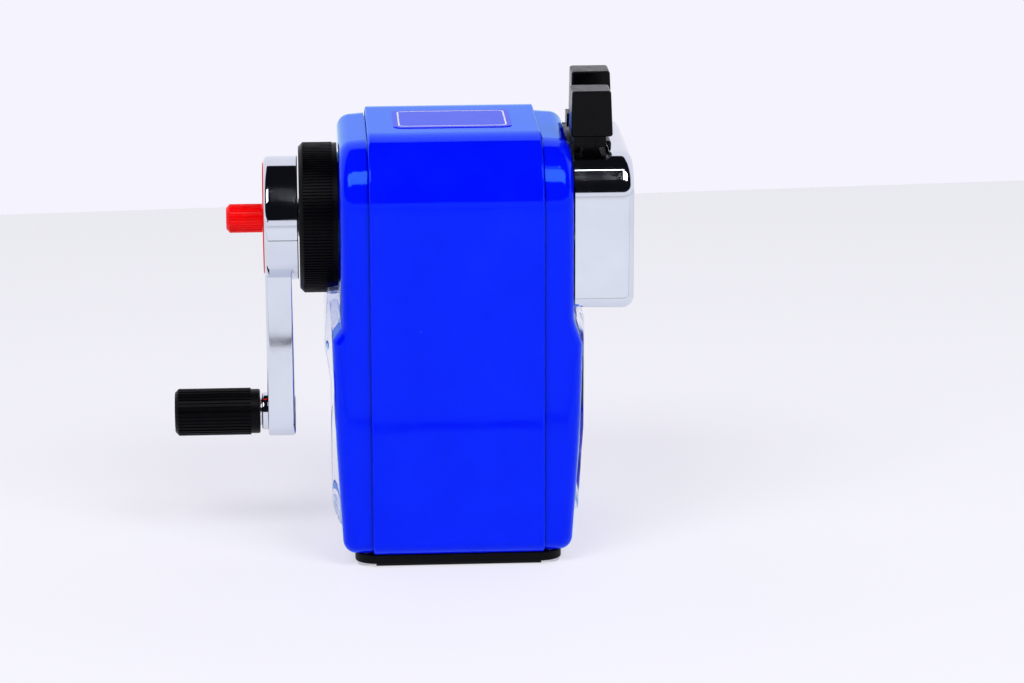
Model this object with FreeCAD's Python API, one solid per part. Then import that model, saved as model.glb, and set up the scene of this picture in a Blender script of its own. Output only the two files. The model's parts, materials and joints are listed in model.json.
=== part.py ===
import FreeCAD, Part
import math
import os
from collections import namedtuple

# Crank-turned desk pencil sharpener, in millimetres.
# +Z is up, -Y is the front where the pencil goes in, +Y is the crank side.
# The origin lies on the table, at the centre of the body.

# ---------------------------------------------------------------- fits and joints
seat_gap = 0.1          # between pieces that locate each other
running_gap = 0.05      # between a shaft and its bore
press_gap = 0.02        # between a pin and the hole that it is pressed into
free_gap = 0.3          # between pieces that pass each other
thread_gap = 0.05
screw_clearance = 0.2
root = 0.5              # how deep a rib, boss or stem is set into what carries it
over = 1.0              # how far a cut runs past the face that it opens

# ---------------------------------------------------------------- body
body_width = 68.0
shell_depth = 45.0
body_top = 113.4
body_bottom = 3.2
shell_sheet = 0.8
shell_top_radius = 18.0
shell_toe_radius = 4.0
shell_edge_radius = 0.5
shell_flange = 6.0

# ---------------------------------------------------------------- end panels
panel_side_inset = 1.5      # at the seam with the shell
panel_top_inset = 1.6
panel_draft = 4.5
panel_wall = 2.2
panel_edge_radius = 3.6
panel_rim_depth = 3.0
seam_width = 0.4
seam_depth = 0.8
seam_floor = 0.6            # how far the rim stands back under the shell's edge
front_face = 30.4
front_belly = 32.6
front_toe = 29.85
front_step_gap = 2.6        # under the face housing
front_step_height = 6.0
front_step_radius = 8.0
front_step_low_radius = 4.7
rear_face = 30.05
rear_belly = 32.45
rear_toe = 30.2
rear_step_gap = 3.05        # under the ring cap
rear_step_height = 3.1
rear_step_radius = 4.0
rear_step_low_radius = 1.3
belly_crown_drop = 0.5
belly_crown_height = 37.0
belly_crown_radius = 500.0

# ---------------------------------------------------------------- base
plate_side_margin = 3.5     # beyond the screws
plate_end_margin = 3.2
plate_corner = 5.0
pad_thickness = 1.0
pad_margin = 1.2
pad_hole_gap = 0.5
deck_height = 1.0
foot_boss_gap = 0.4         # between a boss and the drawer's mouth
foot_screw_gap = 0.1        # between a screw and the edge of the shell's flange
foot_screw_radius = 1.4
foot_screw_length = 10.0
foot_head_radius = 2.7
foot_head_height = 0.7
foot_boss_radius = 3.0
foot_boss_roof = 1.0
cross_reach = 1.6
cross_half = 0.3
cross_depth = 0.4

# ---------------------------------------------------------------- screws
screw_head_share = 0.6      # height of a head over its radius
screw_slot_share = 0.3      # height of the slot's floor over the head's radius
screw_slot_half_share = 0.17
screw_head_round = 0.4
blind_skin = 0.6            # wall left in front of a blind screw hole

# ---------------------------------------------------------------- cutter and its gears
axis_drop = 26.0            # from the top of the body
pencil_radius = 4.0
pencil_passage = 4.4
pencil_mouth_gap = 1.0
point_angle = 9.5
point_room = 1.5
cone_base_y = -17.0
cutter_radius = 5.0
cutter_length = 24.4
cutter_teeth = 18
cutter_tooth_depth = 0.7
cutter_tooth_shares = (0.35, 0.2)
cutter_twist = 40.0
cutter_steps = 4
cutter_tail = 0.6
cutter_end_gap = 0.6
cutter_room_gap = 0.5
spindle_radius = 1.5
spindle_set_back = 0.2
ring_teeth = 38
ring_tooth_shares = (0.42, 0.34)
pinion_teeth = 12
pinion_tooth_shares = (0.4, 0.2)
pinion_hub_wall = 1.2
gear_width = 4.6
gear_depth = 1.3
gear_tip_gap = 0.3
ring_gear_radius = 18.4
ring_gear_length = 7.3

# ---------------------------------------------------------------- bearing plate and carrier
bearing_plate_y = -24.7
bearing_plate_thickness = 2.5
bearing_plate_gap = 0.9
bearing_plate_drop = 21.7   # from the main axis
bearing_plate_corner = 4.0
plate_screw_inset = 3.0     # from the guide rods
plate_screw_z = 16.5
plate_screw_radius = 1.2
plate_screw_head = 2.4
plate_boss_radius = 3.4
gear_screw_radius = 0.8
gear_screw_circle = 16.7
gear_screw_head = 1.4
gear_screw_angles = (30, 150, 270)
journal_radius = 7.0
front_bush_radius = 8.6
front_bush_stand = 0.9
cheek_radius = 12.8
cheek_thickness = 1.5
trough_radius = 10.4
trough_top = 1.8
carrier_cheek_y = 9.4
carrier_cheek_thickness = 2.6
shaft_radius = 5.0
shaft_tail_radius = 4.0
shaft_thread_radius = 2.9
thrust_collar_radius = 6.8
thrust_collar_length = 2.0

# ---------------------------------------------------------------- rear lock
collar_bore = 16.3
collar_wall = 1.0
collar_end = 38.0
lip_height = 0.8
lip_length = 2.0
lip_y = 33.4
lug_angle = 50.0
lug_side_angle = 6.0
lug_inset = 0.6
lug_count = 3
unit_disc_start = 31.0
unit_disc_end = 36.0
unit_hub_radius = 8.6
unit_hub_start = 20.0
unit_ribs = 6
unit_rib_height = 2.5
unit_rib_half = 0.6
unit_rib_inset = 1.0
rear_bush_radius = 7.0
cap_radius = 19.9
cap_start = 30.35
cap_end = 40.5
cap_end_wall = 2.0
cap_mouth = 13.0
cap_chamfer = 1.2
cap_ribs = 140
cap_rib_depth = 0.35
cap_plain_band = 1.3
rib_shares = (0.3, 0.35)    # gap and crest of a grip's ribs over their pitch

# ---------------------------------------------------------------- crank
crank_reach = 53.2
hub_radius = 16.4
hub_start = 40.8
hub_end = 49.7
hub_back_round = 0.3
hub_edge_round = 1.2
arm_start = 42.9
arm_foot_start = 42.3
arm_top_half = 8.6
arm_foot_radius = 6.7
arm_edge_radius = 0.8
arm_boss_radius = 5.0
arm_boss_end = 51.3
arm_boss_round = 0.5
nut_start = 46.0
nut_thickness = 2.6
nut_flats = 8.0
nut_pocket = 5.8
dial_radius = 14.7
dial_thickness = 0.3
dial_bore_gap = 0.2
handle_start = 51.8
handle_end = 74.5
handle_radius = 6.3
handle_ribs = 36
handle_rib_depth = 0.35
handle_collar = 2.5
handle_collar_round = 0.5
handle_chamfer = 1.0
handle_cap_wall = 2.0
handle_pin_radius = 2.6
handle_pin_head = 4.2
handle_pin_head_length = 1.6
handle_pin_head_round = 0.4
handle_pin_collar = 3.8
knob_radius = 3.8
knob_start = 50.2
knob_end = 59.7
knob_ribs = 32
knob_rib_depth = 0.25
knob_neck_radius = 2.4
knob_bevel = 0.9
knob_end_wall = 2.0
stop_rod_radius = 1.2
stop_rod_travel = 3.0
stop_tip_gap = 1.0
stop_relief_spare = 1.5
stop_relief_drop = 0.2

# ---------------------------------------------------------------- carriage
face_side_reach = 5.5       # beyond the guide rods
face_above = 21.0           # over the main axis
face_below = 19.2
face_start = 30.7
face_end = 46.2
face_wall = 2.0
face_top_radius = 10.8
face_bottom_radius = 3.7
face_edge_radius = 3.0
face_draft = 3.0
notch_inset = 5.5
notch_end = 38.5
notch_slope = 1.8
notch_ledge = 3.0
notch_round = 0.8
rod_inset = 6.8             # from the inside of the panels
rod_radius = 2.0
rod_inner_end = 21.0
rod_tail = 1.0
rod_stop_radius = 3.6
rod_stop_length = 1.5
rod_head_radius = 3.2
rod_head_thickness = 2.0
guide_bush_radius = 3.2
guide_bush_flange = 4.2
guide_bush_flange_length = 0.7
spring_wire = 0.7
spring_coils = 8
spring_rod_gap = 0.35
chuck_plate_thickness = 2.2
chuck_cover_thickness = 1.6
chuck_low_corner = 2.0
chuck_hole_gap = 0.4
cover_post_radius = 2.4
cover_post_drop = 11.0
cover_post_rise = 9.0
cover_screw_radius = 1.0
cover_screw_head = 1.7
cover_screw_sink = 1.2
cover_screw_skin = 1.0
lever_thickness = 4.4
lever_side_gap = 0.25
lever_hub_radius = 4.0
pivot_x = 13.0
pivot_rise = 12.8           # over the main axis
pivot_radius = 1.5
pivot_head_stand = 0.6
tab_width = 9.0
tab_height = 12.1
tab_stand = 3.4             # over the face housing
tab_front = 41.3
tab_back = 30.4
tab_stagger = 1.8           # how far the right tab stands in front of the left
tab_taper = 0.5
tab_corner = 0.7
tab_side_round = 0.5
stem_half_width = 3.0
stem_front = 39.6
stem_back = 31.2
stem_stand = 0.3
tongue_drop = 1.3
jaw_gap = 2.6
jaw_height = 9.0
jaw_pad = 1.6
jaw_valley_share = 0.55
jaw_end_gap = 0.2
jaw_arm_foot = 5.5
jaw_arm_outer = 2.5
jaw_arm_inner = 3.4
jaw_arm_drop = 1.0
jaw_arm_rise = 2.0
jaw_arm_round = 1.0
finger_half = 2.3
nub_radius = 1.2
slot_clearance = 0.4
slot_end_gap = 0.2
slot_reach = 3.0
jaw_spring_rise = 5.7       # over the pivots
jaw_spring_radius = 1.95
jaw_spring_wire = 0.6
jaw_spring_coils = 8
spring_seat_gap = 0.6
spring_seat_depth = 0.9
entry_radius = 4.5
entry_bush_radius = 7.0
entry_bush_end_gap = 0.4
entry_flange_radius = 9.5
entry_flange_thickness = 0.8
entry_flange_round = 0.5
entry_funnel = 1.6

# ---------------------------------------------------------------- drawer
drawer_side_inset = 8.3     # from the sides of the panels
drawer_wall = 1.6
drawer_bottom = 15.0
drawer_roof_room = 8.0
drawer_back = 22.0
drawer_gap = 0.4
drawer_front_inset = 6.0
drawer_front_low = 13.6
drawer_front_gap = 1.0      # under the face housing
drawer_front_crown = 1.4
drawer_crown_spare = 0.2
drawer_front_toe = 0.8
drawer_front_peak = 1.6
drawer_front_brow = 9.2
drawer_brow_radius = 50.0
drawer_lip = 1.5
drawer_lip_radius = 1.0
drawer_tray_set_back = 1.0
drawer_neck_inset = 0.5
drawer_neck_rise = 3.0
drawer_neck_low_corner = 1.0
drawer_neck_high_corner = 3.0
mouth_lap = 2.2             # under the foot of the step
mouth_sill_corner = 1.0
mouth_corner = 3.0
bay_wall = 1.6
bay_drop = 25.7             # from the main axis
chute_half_width = 17.0
chute_half_depth = 15.0
chute_corner = 4.0

# ---------------------------------------------------------------- window and label
window_half_width = 20.0
window_low = 5.4
window_foot = 30.6
window_bend = 8.5
window_bend_radius = 8.0
window_stand = 0.5          # over the belly of the panel
window_knee_drop = 10.3     # from the crest
window_knee_radius = 14.0
window_crest = 34.4
window_crest_drop = 3.4     # from the foot of the panel's step
window_crest_radius = 14.0
window_top_lean = 1.0
window_top_tuck = 6.0
window_ring_gap = 0.4
window_corner = 9.0
window_edge_radius = 1.2
window_plug = 4.0
window_opening_half = 16.0
window_opening_low = 11.0
window_opening_drop = 2.4
window_opening_corner = 5.0
label_half_depth = 15.5
label_half_width = 10.7
label_thickness = 0.2
label_corner = 2.5

# ---------------------------------------------------------------- worked out
half_width = body_width / 2
half_shell = shell_depth / 2
panel_half_width = half_width - panel_side_inset
panel_top = body_top - panel_top_inset
panel_top_radius = shell_top_radius - panel_side_inset
deck_top = body_bottom + deck_height
axis_height = body_top - axis_drop
rod_x = panel_half_width - panel_wall - rod_inset
face_width = 2 * (rod_x + face_side_reach)
face_top = axis_height + face_above
face_bottom = axis_height - face_below
notch_half_width = face_width / 2 - notch_inset
pivot_height = axis_height + pivot_rise
jaw_spring_height = pivot_height + jaw_spring_rise
stem_bottom = face_top + stem_stand
tab_bottom = face_top + tab_stand
tab_top = tab_bottom + tab_height
bearing_plate_low = axis_height - bearing_plate_drop
plate_screw_x = rod_x - plate_screw_inset
front_step_top = face_bottom - front_step_gap
front_step_low = front_step_top - front_step_height
rear_step_top = axis_height - cap_radius - rear_step_gap
rear_step_low = rear_step_top - rear_step_height
window_crest_height = rear_step_low - window_crest_drop
window_opening_high = rear_step_low - window_opening_drop
bay_top = axis_height - bay_drop
drawer_top = bay_top - drawer_roof_room
drawer_half_width = panel_half_width - drawer_side_inset
drawer_front_half = panel_half_width - drawer_front_inset
drawer_front_high = face_bottom - drawer_front_gap
bay_half_depth = half_shell - panel_rim_depth
foot_screw_x = drawer_half_width + drawer_gap + foot_boss_radius + foot_boss_gap
foot_screw_y = half_shell + foot_screw_radius + foot_screw_gap
plate_width = 2 * (foot_screw_x + plate_side_margin)
plate_depth = 2 * (foot_screw_y + plate_end_margin)
slope = math.tan(math.radians(point_angle))
tip_y = cone_base_y + pencil_radius / slope
cutter_offset = cutter_radius / math.cos(math.radians(point_angle))
cutter_origin = FreeCAD.Vector(0, tip_y, axis_height + cutter_offset)
cutter_axis = FreeCAD.Vector(0, -math.cos(math.radians(point_angle)), math.sin(math.radians(point_angle)))
gear_rear_y = bearing_plate_y + ring_gear_length
gear_front_y = gear_rear_y - gear_width - 2 * free_gap
gear_mid_y = (gear_rear_y + gear_front_y) / 2
gear_offset = (tip_y - gear_mid_y) * slope + cutter_offset
gear_module = 2 * gear_offset / (ring_teeth - pinion_teeth)
ring_pitch = gear_module * ring_teeth / 2
pinion_pitch = gear_module * pinion_teeth / 2
plate_front_y = bearing_plate_y - bearing_plate_thickness
cheek_front_y = bearing_plate_y + free_gap
cheek_rear_y = cheek_front_y + cheek_thickness
carrier_end_y = carrier_cheek_y + carrier_cheek_thickness
handle_height = axis_height - crank_reach
nut_end = nut_start + nut_thickness
face_rise = (face_end - face_start) * math.tan(math.radians(face_draft))
chuck_back_y = -(face_start + free_gap)
chuck_front_y = chuck_back_y - chuck_plate_thickness
lever_back_y = chuck_front_y - lever_side_gap
lever_front_y = lever_back_y - lever_thickness
lever_mid_y = (lever_back_y + lever_front_y) / 2
cover_back_y = lever_front_y - lever_side_gap
cover_front_y = cover_back_y - chuck_cover_thickness
rod_stop_back = rod_inner_end - rod_tail
rod_stop_front = rod_stop_back - rod_stop_length

Panel = namedtuple("Panel", "side face belly toe step_top step_low step_radius step_low_radius")
front_shape = Panel(-1, front_face, front_belly, front_toe, front_step_top, front_step_low,
                    front_step_radius, front_step_low_radius)
rear_shape = Panel(1, rear_face, rear_belly, rear_toe, rear_step_top, rear_step_low,
                   rear_step_radius, rear_step_low_radius)


def vec(x, y, z):
    return FreeCAD.Vector(x, y, z)


def on_front(y):
    """Drawing plane seen from the front or back: u is X, v is Z."""
    return lambda u, v: vec(u, y, v)


def on_side(x):
    """Drawing plane seen from the side: u is Y, v is Z."""
    return lambda u, v: vec(x, u, v)


def on_plan(z):
    """Drawing plane seen from above: u is X, v is Y."""
    return lambda u, v: vec(u, v, z)


def outline(corners, plane):
    """Closed wire through corners (u, v, radius), each rounded by a tangent arc."""
    count = len(corners)
    stations = []
    for i in range(count):
        u, v, radius = corners[i]
        before = corners[i - 1]
        after = corners[(i + 1) % count]
        back = FreeCAD.Vector(before[0] - u, before[1] - v, 0).normalize()
        ahead = FreeCAD.Vector(after[0] - u, after[1] - v, 0).normalize()
        corner = FreeCAD.Vector(u, v, 0)
        turn = math.pi - back.getAngle(ahead)
        if radius <= 0 or turn < 1e-6:
            stations.append((corner, corner, corner))
            continue
        run = radius * math.tan(turn / 2)
        inward = (back + ahead).normalize()
        depth = radius / math.cos(turn / 2) - radius
        stations.append((corner + back * run, corner + inward * depth, corner + ahead * run))
    edges = []
    for i in range(count):
        enter, middle, leave = stations[i]
        if enter.distanceToPoint(leave) > 1e-7:
            edges.append(Part.Arc(plane(enter.x, enter.y), plane(middle.x, middle.y),
                                  plane(leave.x, leave.y)).toShape())
        following = stations[(i + 1) % count][0]
        if leave.distanceToPoint(following) > 1e-7:
            edges.append(Part.LineSegment(plane(leave.x, leave.y),
                                          plane(following.x, following.y)).toShape())
    return Part.Wire(edges)


def prism(corners, plane, direction):
    return Part.Face(outline(corners, plane)).extrude(direction)


def block(x0, x1, y0, y1, z0, z1):
    return Part.makeBox(x1 - x0, y1 - y0, z1 - z0, vec(x0, y0, z0))


def rod(radius, y0, y1, x=0.0, z=axis_height):
    """Round bar along Y."""
    return Part.makeCylinder(radius, y1 - y0, vec(x, y0, z), vec(0, 1, 0))


def post(radius, x, y, z0, z1):
    """Round bar along Z."""
    return Part.makeCylinder(radius, z1 - z0, vec(x, y, z0), vec(0, 0, 1))


def turned(corners, x=0.0, z=axis_height):
    """Solid turned about the line along Y at (x, z), from corners (radius, y, rounding)."""
    wire = outline([(y, radius, rounding) for radius, y, rounding in corners],
                   lambda u, v: vec(x, u, z + v))
    return Part.Face(wire).revolve(vec(x, 0, z), vec(0, 1, 0), 360)


def fused(shapes):
    whole = shapes[0]
    for shape in shapes[1:]:
        whole = whole.fuse(shape)
    return whole.removeSplitter()


def tooth_points(teeth, low, high, shares, phase):
    """Corners (u, v) of a toothed outline: flat tips at high, flat gaps at low."""
    points = []
    pitch = 2 * math.pi / teeth
    gap_share, tip_share = shares
    foot = 0.5 * pitch * (1 - gap_share)
    tip = 0.5 * pitch * tip_share
    for i in range(teeth):
        for radius, offset in ((low, -foot), (high, -tip), (high, tip), (low, foot)):
            angle = phase + i * pitch + offset
            points.append((radius * math.cos(angle), radius * math.sin(angle)))
    return points


def polygon(points):
    return Part.makePolygon(points + [points[0]])


def body_outline(shrink_side, shrink_top, shrink_bottom, top_radius, toe_radius, y):
    """Front view of the body: upright sides, large upper corners, small lower ones."""
    x = half_width - shrink_side
    low = body_bottom + shrink_bottom
    high = body_top - shrink_top
    return outline([(-x, low, toe_radius), (x, low, toe_radius), (x, high, top_radius),
                    (-x, high, top_radius)], on_front(y))


def body_prism(shrink_side, shrink_top, shrink_bottom, top_radius, toe_radius, y0, y1):
    wire = body_outline(shrink_side, shrink_top, shrink_bottom, top_radius, toe_radius, y0)
    return Part.Face(wire).extrude(vec(0, y1 - y0, 0))


# ================================================================ body and base


def make_body_shell():
    """Painted sheet, folded over the top, with narrow flanges under both sides."""
    outer = body_prism(0, 0, 0, shell_top_radius, shell_toe_radius, -half_shell, half_shell)
    rims = [e for e in outer.Edges if all(abs(abs(v.Y) - half_shell) < 1e-6 for v in e.Vertexes)]
    outer = outer.makeFillet(shell_edge_radius, rims)
    inner = body_prism(shell_sheet, shell_sheet, shell_sheet, shell_top_radius - shell_sheet,
                       shell_toe_radius - shell_sheet, -half_shell - over, half_shell + over)
    slot = half_width - shell_flange
    opening = block(-slot, slot, -half_shell - over, half_shell + over, body_bottom - over,
                    body_bottom + shell_sheet + over)
    return outer.cut(inner).cut(opening)


def drafted_outline(shrink, y):
    """Front view of an end panel, which draws in with its distance from the seam."""
    draw = (abs(y) - half_shell) * math.tan(math.radians(panel_draft)) + shrink
    x = panel_half_width - draw
    low = body_bottom + shrink
    high = panel_top - draw
    return outline([(-x, low, shell_toe_radius - shrink), (x, low, shell_toe_radius - shrink),
                    (x, high, panel_top_radius - draw), (-x, high, panel_top_radius - draw)], on_front(y))


def panel_block(panel, shrink, start):
    """One end panel as a solid block, shrunk evenly to give its hollow."""
    side = panel.side
    low = body_bottom + shrink
    profile = [
        (side * start, low, 0),
        (side * (panel.toe - shrink), low, 0),
        (side * (panel.belly - belly_crown_drop - shrink), belly_crown_height, belly_crown_radius),
        (side * (panel.belly - shrink), panel.step_low, panel.step_low_radius),
        (side * (panel.face - shrink), panel.step_top, panel.step_radius),
        (side * (panel.face - shrink), body_top, 0),
        (side * start, body_top, 0),
    ]
    slab = prism(profile, on_side(-half_width), vec(body_width, 0, 0))
    ends = [drafted_outline(shrink, side * y) for y in (start, panel.belly + over)]
    return slab.common(Part.makeLoft(ends, True, True))


def rim_edges(solid, side, start):
    """Edges between the outer face of a panel and its side walls."""
    wall_tilt = 0.2
    face_tilt = 0.5
    chosen = []
    for edge in solid.Edges:
        middle = edge.valueAt((edge.FirstParameter + edge.LastParameter) / 2)
        if side * middle.y < start + over:
            continue
        tilts = []
        for face in solid.ancestorsOfType(edge, Part.Face):
            u, v = face.Surface.parameter(middle)
            tilts.append(abs(face.normalAt(u, v).y))
        if len(tilts) == 2 and min(tilts) < wall_tilt and max(tilts) > face_tilt:
            chosen.append(edge)
    return chosen


def panel_shell(panel):
    """Hollow end panel with a rim that tucks under the sheet of the body."""
    side = panel.side
    start = half_shell + seam_width
    reach = half_shell - panel_rim_depth
    floor = half_shell - seam_floor
    outer = panel_block(panel, 0, start)
    outer = outer.makeFillet(panel_edge_radius, rim_edges(outer, side, start))
    tuck = shell_sheet + seat_gap
    near, far = sorted((side * reach, side * floor))
    rim = body_prism(tuck, tuck, tuck, shell_top_radius - tuck, shell_toe_radius - tuck, near, far)
    deep = panel_side_inset + seam_depth
    near, far = sorted((side * (floor - root), side * (start + root)))
    neck = body_prism(deep, panel_top_inset + seam_depth, tuck, shell_top_radius - deep,
                      shell_toe_radius - deep, near, far)
    envelope = outer.fuse(rim).fuse(neck)
    shell = envelope.cut(panel_block(panel, panel_wall, reach - over))
    hole_top = body_bottom + foot_screw_length
    for x in (-foot_screw_x, foot_screw_x):
        y = side * foot_screw_y
        boss = post(foot_boss_radius, x, y, body_bottom, hole_top + foot_boss_roof)
        hole = post(foot_screw_radius + thread_gap, x, y, body_bottom - over, hole_top)
        shell = shell.fuse(boss.common(envelope)).cut(hole)
    flange_room = half_width - shell_flange - seat_gap
    near, far = sorted((side * (reach - over), side * (half_shell + seat_gap)))
    for x0, x1 in ((-half_width, -flange_room), (flange_room, half_width)):
        shell = shell.cut(block(x0, x1, near, far, 0, body_bottom + tuck))
    return shell.removeSplitter()


def make_front_panel():
    """Front panel with the drawer's mouth, the screw pads and the guide bosses."""
    shell = panel_shell(front_shape)
    mouth_half = drawer_half_width + drawer_gap
    mouth_low = drawer_bottom - drawer_gap / 2
    mouth_high = front_step_low - mouth_lap
    mouth_start = -front_belly - over
    mouth_end = panel_rim_depth - half_shell + over
    shell = shell.cut(prism([
        (-mouth_half, mouth_low, mouth_sill_corner), (mouth_half, mouth_low, mouth_sill_corner),
        (mouth_half, mouth_high, mouth_corner), (-mouth_half, mouth_high, mouth_corner),
    ], on_front(mouth_start), vec(0, mouth_end - mouth_start, 0)))
    mid_wall = -front_face + panel_wall / 2
    for x, z in plate_screw_places():
        shell = shell.fuse(rod(plate_boss_radius, mid_wall, plate_front_y, x, z))
        shell = shell.cut(rod(plate_screw_radius + thread_gap, -front_face + blind_skin,
                              plate_front_y + over, x, z))
    shell = shell.cut(rod(pencil_passage + pencil_mouth_gap, -front_face - over, plate_front_y))
    for x in (-rod_x, rod_x):
        shell = shell.fuse(rod(guide_bush_flange, mid_wall, plate_front_y, x))
        shell = shell.cut(rod(guide_bush_radius + thread_gap, -front_face - over, plate_front_y + over, x))
    return shell.removeSplitter()


def arc_segment(inner, outer, y0, y1, centre, angle):
    """Part of a ring about the main axis, centred on an angle measured from +X towards +Z."""
    ring = turned([(inner, y0, 0), (outer, y0, 0), (outer, y1, 0), (inner, y1, 0)])
    reach = 3 * outer
    half = math.radians(angle / 2)
    middle = math.radians(centre)
    corners = [(0, 0)]
    for share in (-1, 0, 1):
        direction = middle + share * half
        corners.append((reach * math.cos(direction), reach * math.sin(direction)))
    wedge = Part.Face(polygon([vec(u, y0 - over, axis_height + v) for u, v in corners]))
    return ring.common(wedge.extrude(vec(0, y1 - y0 + 2 * over, 0)))


def lock_angles():
    return [90 + i * 360 / lug_count for i in range(lug_count)]


def make_rear_panel():
    """Rear panel with the locking collar round the cutter unit and the window's opening."""
    shell = panel_shell(rear_shape)
    inside = rear_face - panel_wall
    outer = collar_bore + collar_wall
    collar = turned([(collar_bore, inside, 0), (outer, inside, 0), (outer, collar_end, 0),
                     (collar_bore, collar_end, 0)])
    shell = shell.fuse(collar).cut(rod(collar_bore, inside - panel_wall, collar_end + over))
    for angle in lock_angles():
        lip = arc_segment(collar_bore + collar_wall / 2, outer + lip_height, lip_y, lip_y + lip_length,
                          angle, lug_angle)
        shell = shell.fuse(lip)
    opening = prism(window_opening(0), on_front(half_shell), vec(0, rear_belly, 0))
    return shell.cut(opening).removeSplitter()


def plate_corners(margin):
    x = plate_width / 2 - margin
    y = plate_depth / 2 - margin
    radius = plate_corner - margin
    return [(-x, -y, radius), (x, -y, radius), (x, y, radius), (-x, y, radius)]


def foot_places():
    return [(x, y) for x in (-foot_screw_x, foot_screw_x) for y in (-foot_screw_y, foot_screw_y)]


def make_base_plate():
    """Black moulded foot plate, with a raised deck between the flanges of the shell."""
    plate = prism(plate_corners(0), on_plan(pad_thickness), vec(0, 0, body_bottom - pad_thickness))
    deck_x = half_width - shell_flange - free_gap
    deck_y = half_shell - panel_rim_depth - free_gap
    plate = plate.fuse(block(-deck_x, deck_x, -deck_y, deck_y, body_bottom - root, deck_top))
    for x, y in foot_places():
        plate = plate.cut(post(foot_screw_radius + screw_clearance, x, y, 0, deck_top + over))
    return plate.removeSplitter()


def make_rubber_pad():
    """Thin non-slip sheet under the foot plate."""
    pad = prism(plate_corners(pad_margin), on_plan(0), vec(0, 0, pad_thickness))
    for x, y in foot_places():
        pad = pad.cut(post(foot_head_radius + pad_hole_gap, x, y, -over, pad_thickness + over))
    return pad


def make_base_screws():
    """Four screws that hold the foot plate to the bosses of the end panels."""
    head_bottom = pad_thickness - foot_head_height
    recess_top = head_bottom + cross_depth
    screws = []
    for x, y in foot_places():
        head = post(foot_head_radius, x, y, head_bottom, pad_thickness)
        shank = post(foot_screw_radius, x, y, recess_top, pad_thickness + foot_screw_length)
        cross = block(x - cross_reach, x + cross_reach, y - cross_half, y + cross_half, 0, recess_top)
        cross = cross.fuse(block(x - cross_half, x + cross_half, y - cross_reach, y + cross_reach,
                                 0, recess_top))
        screws.append(head.fuse(shank).cut(cross).removeSplitter())
    return Part.makeCompound(screws)


def make_drawer_bay():
    """Inner frame: a floor for the drawer, two walls, and a roof with the chute for the shavings."""
    inside = drawer_half_width + drawer_gap
    x = inside + bay_wall
    y = bay_half_depth
    roof = bay_top + bay_wall
    frame = block(-x, x, -y, y, deck_top, roof)
    floor = drawer_bottom - drawer_gap / 2
    frame = frame.cut(block(-inside, inside, -y - over, y + over, floor, bay_top))
    frame = frame.cut(block(-inside, inside, -y - over, y + over, deck_top - over, floor - bay_wall))
    frame = frame.cut(prism([
        (x_side * chute_half_width, y_side * chute_half_depth, chute_corner)
        for x_side, y_side in ((-1, -1), (1, -1), (1, 1), (-1, 1))
    ], on_plan(bay_top - over), vec(0, 0, bay_wall + 2 * over)))
    ledge = half_width - shell_sheet - seat_gap
    for side in (-1, 1):
        near, far = sorted((side * (x - root), side * ledge))
        frame = frame.fuse(block(near, far, -y, y, bay_top, roof))
    return frame.removeSplitter()


# ================================================================ window and label


def window_opening(margin):
    x = window_opening_half - margin
    low = window_opening_low + margin
    high = window_opening_high - margin
    radius = window_opening_corner - margin
    return [(-x, low, radius), (x, low, radius), (x, high, radius), (-x, high, radius)]


def make_rear_window():
    """Clear domed window below the crank, through which the shavings show."""
    inside = rear_face - panel_wall
    top = axis_height - cap_radius + window_top_tuck
    swell = rear_belly + window_stand
    profile = [(inside, window_low, 0), (window_foot, window_low, 0),
               (swell, window_low + window_bend, window_bend_radius),
               (swell, window_crest_height - window_knee_drop, window_knee_radius),
               (window_crest, window_crest_height, window_crest_radius),
               (window_crest - window_top_lean, top, 0), (inside, top, 0)]
    slab = prism(profile, on_side(-window_half_width), vec(2 * window_half_width, 0, 0))
    x = window_half_width
    corners = [(-x, window_low, window_corner), (x, window_low, window_corner), (x, axis_height, 0),
               (-x, axis_height, 0)]
    dome = slab.common(prism(corners, on_front(inside), vec(0, window_crest, 0)))
    dome = dome.makeFillet(window_edge_radius, rim_edges(dome, 1, inside))
    dome = dome.cut(rod(cap_radius + window_ring_gap, inside - over, window_crest + over))
    panel = panel_block(rear_shape, -seat_gap, half_shell)
    plug = prism(window_opening(seat_gap), on_front(inside), vec(0, window_plug, 0))
    return dome.cut(panel).fuse(plug).removeSplitter()


def make_top_label():
    """Plain printed field on the top of the body."""
    x, y, r = label_half_width, label_half_depth, label_corner
    return prism([(-x, -y, r), (x, -y, r), (x, y, r), (-x, y, r)], on_plan(body_top),
                 vec(0, 0, label_thickness))


# ================================================================ bearings and gears


def make_bearing_plate():
    """Plate behind the front panel that carries the cutter unit and the guide bushes."""
    inset = panel_wall + bearing_plate_gap
    x = panel_half_width - inset
    high = panel_top - inset
    radius = panel_top_radius - inset
    corners = [(-x, bearing_plate_low, bearing_plate_corner), (x, bearing_plate_low, bearing_plate_corner),
               (x, high, radius), (-x, high, radius)]
    plate = prism(corners, on_front(plate_front_y), vec(0, bearing_plate_thickness, 0))
    holes = [(front_bush_radius, 0, axis_height)]
    holes += [(guide_bush_radius + thread_gap, x, axis_height) for x in (-rod_x, rod_x)]
    holes += [(plate_screw_radius + screw_clearance, x, z) for x, z in plate_screw_places()]
    holes += [(gear_screw_radius + thread_gap, x, z) for x, z in gear_screw_places()]
    for radius, x, z in holes:
        plate = plate.cut(rod(radius, plate_front_y - over, bearing_plate_y + over, x, z))
    return plate


def plate_screw_places():
    return [(x, axis_height + z) for x in (-plate_screw_x, plate_screw_x)
            for z in (-plate_screw_z, plate_screw_z)]


def gear_screw_places():
    places = []
    for angle in gear_screw_angles:
        turn = math.radians(angle)
        places.append((gear_screw_circle * math.cos(turn), axis_height + gear_screw_circle * math.sin(turn)))
    return places


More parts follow.
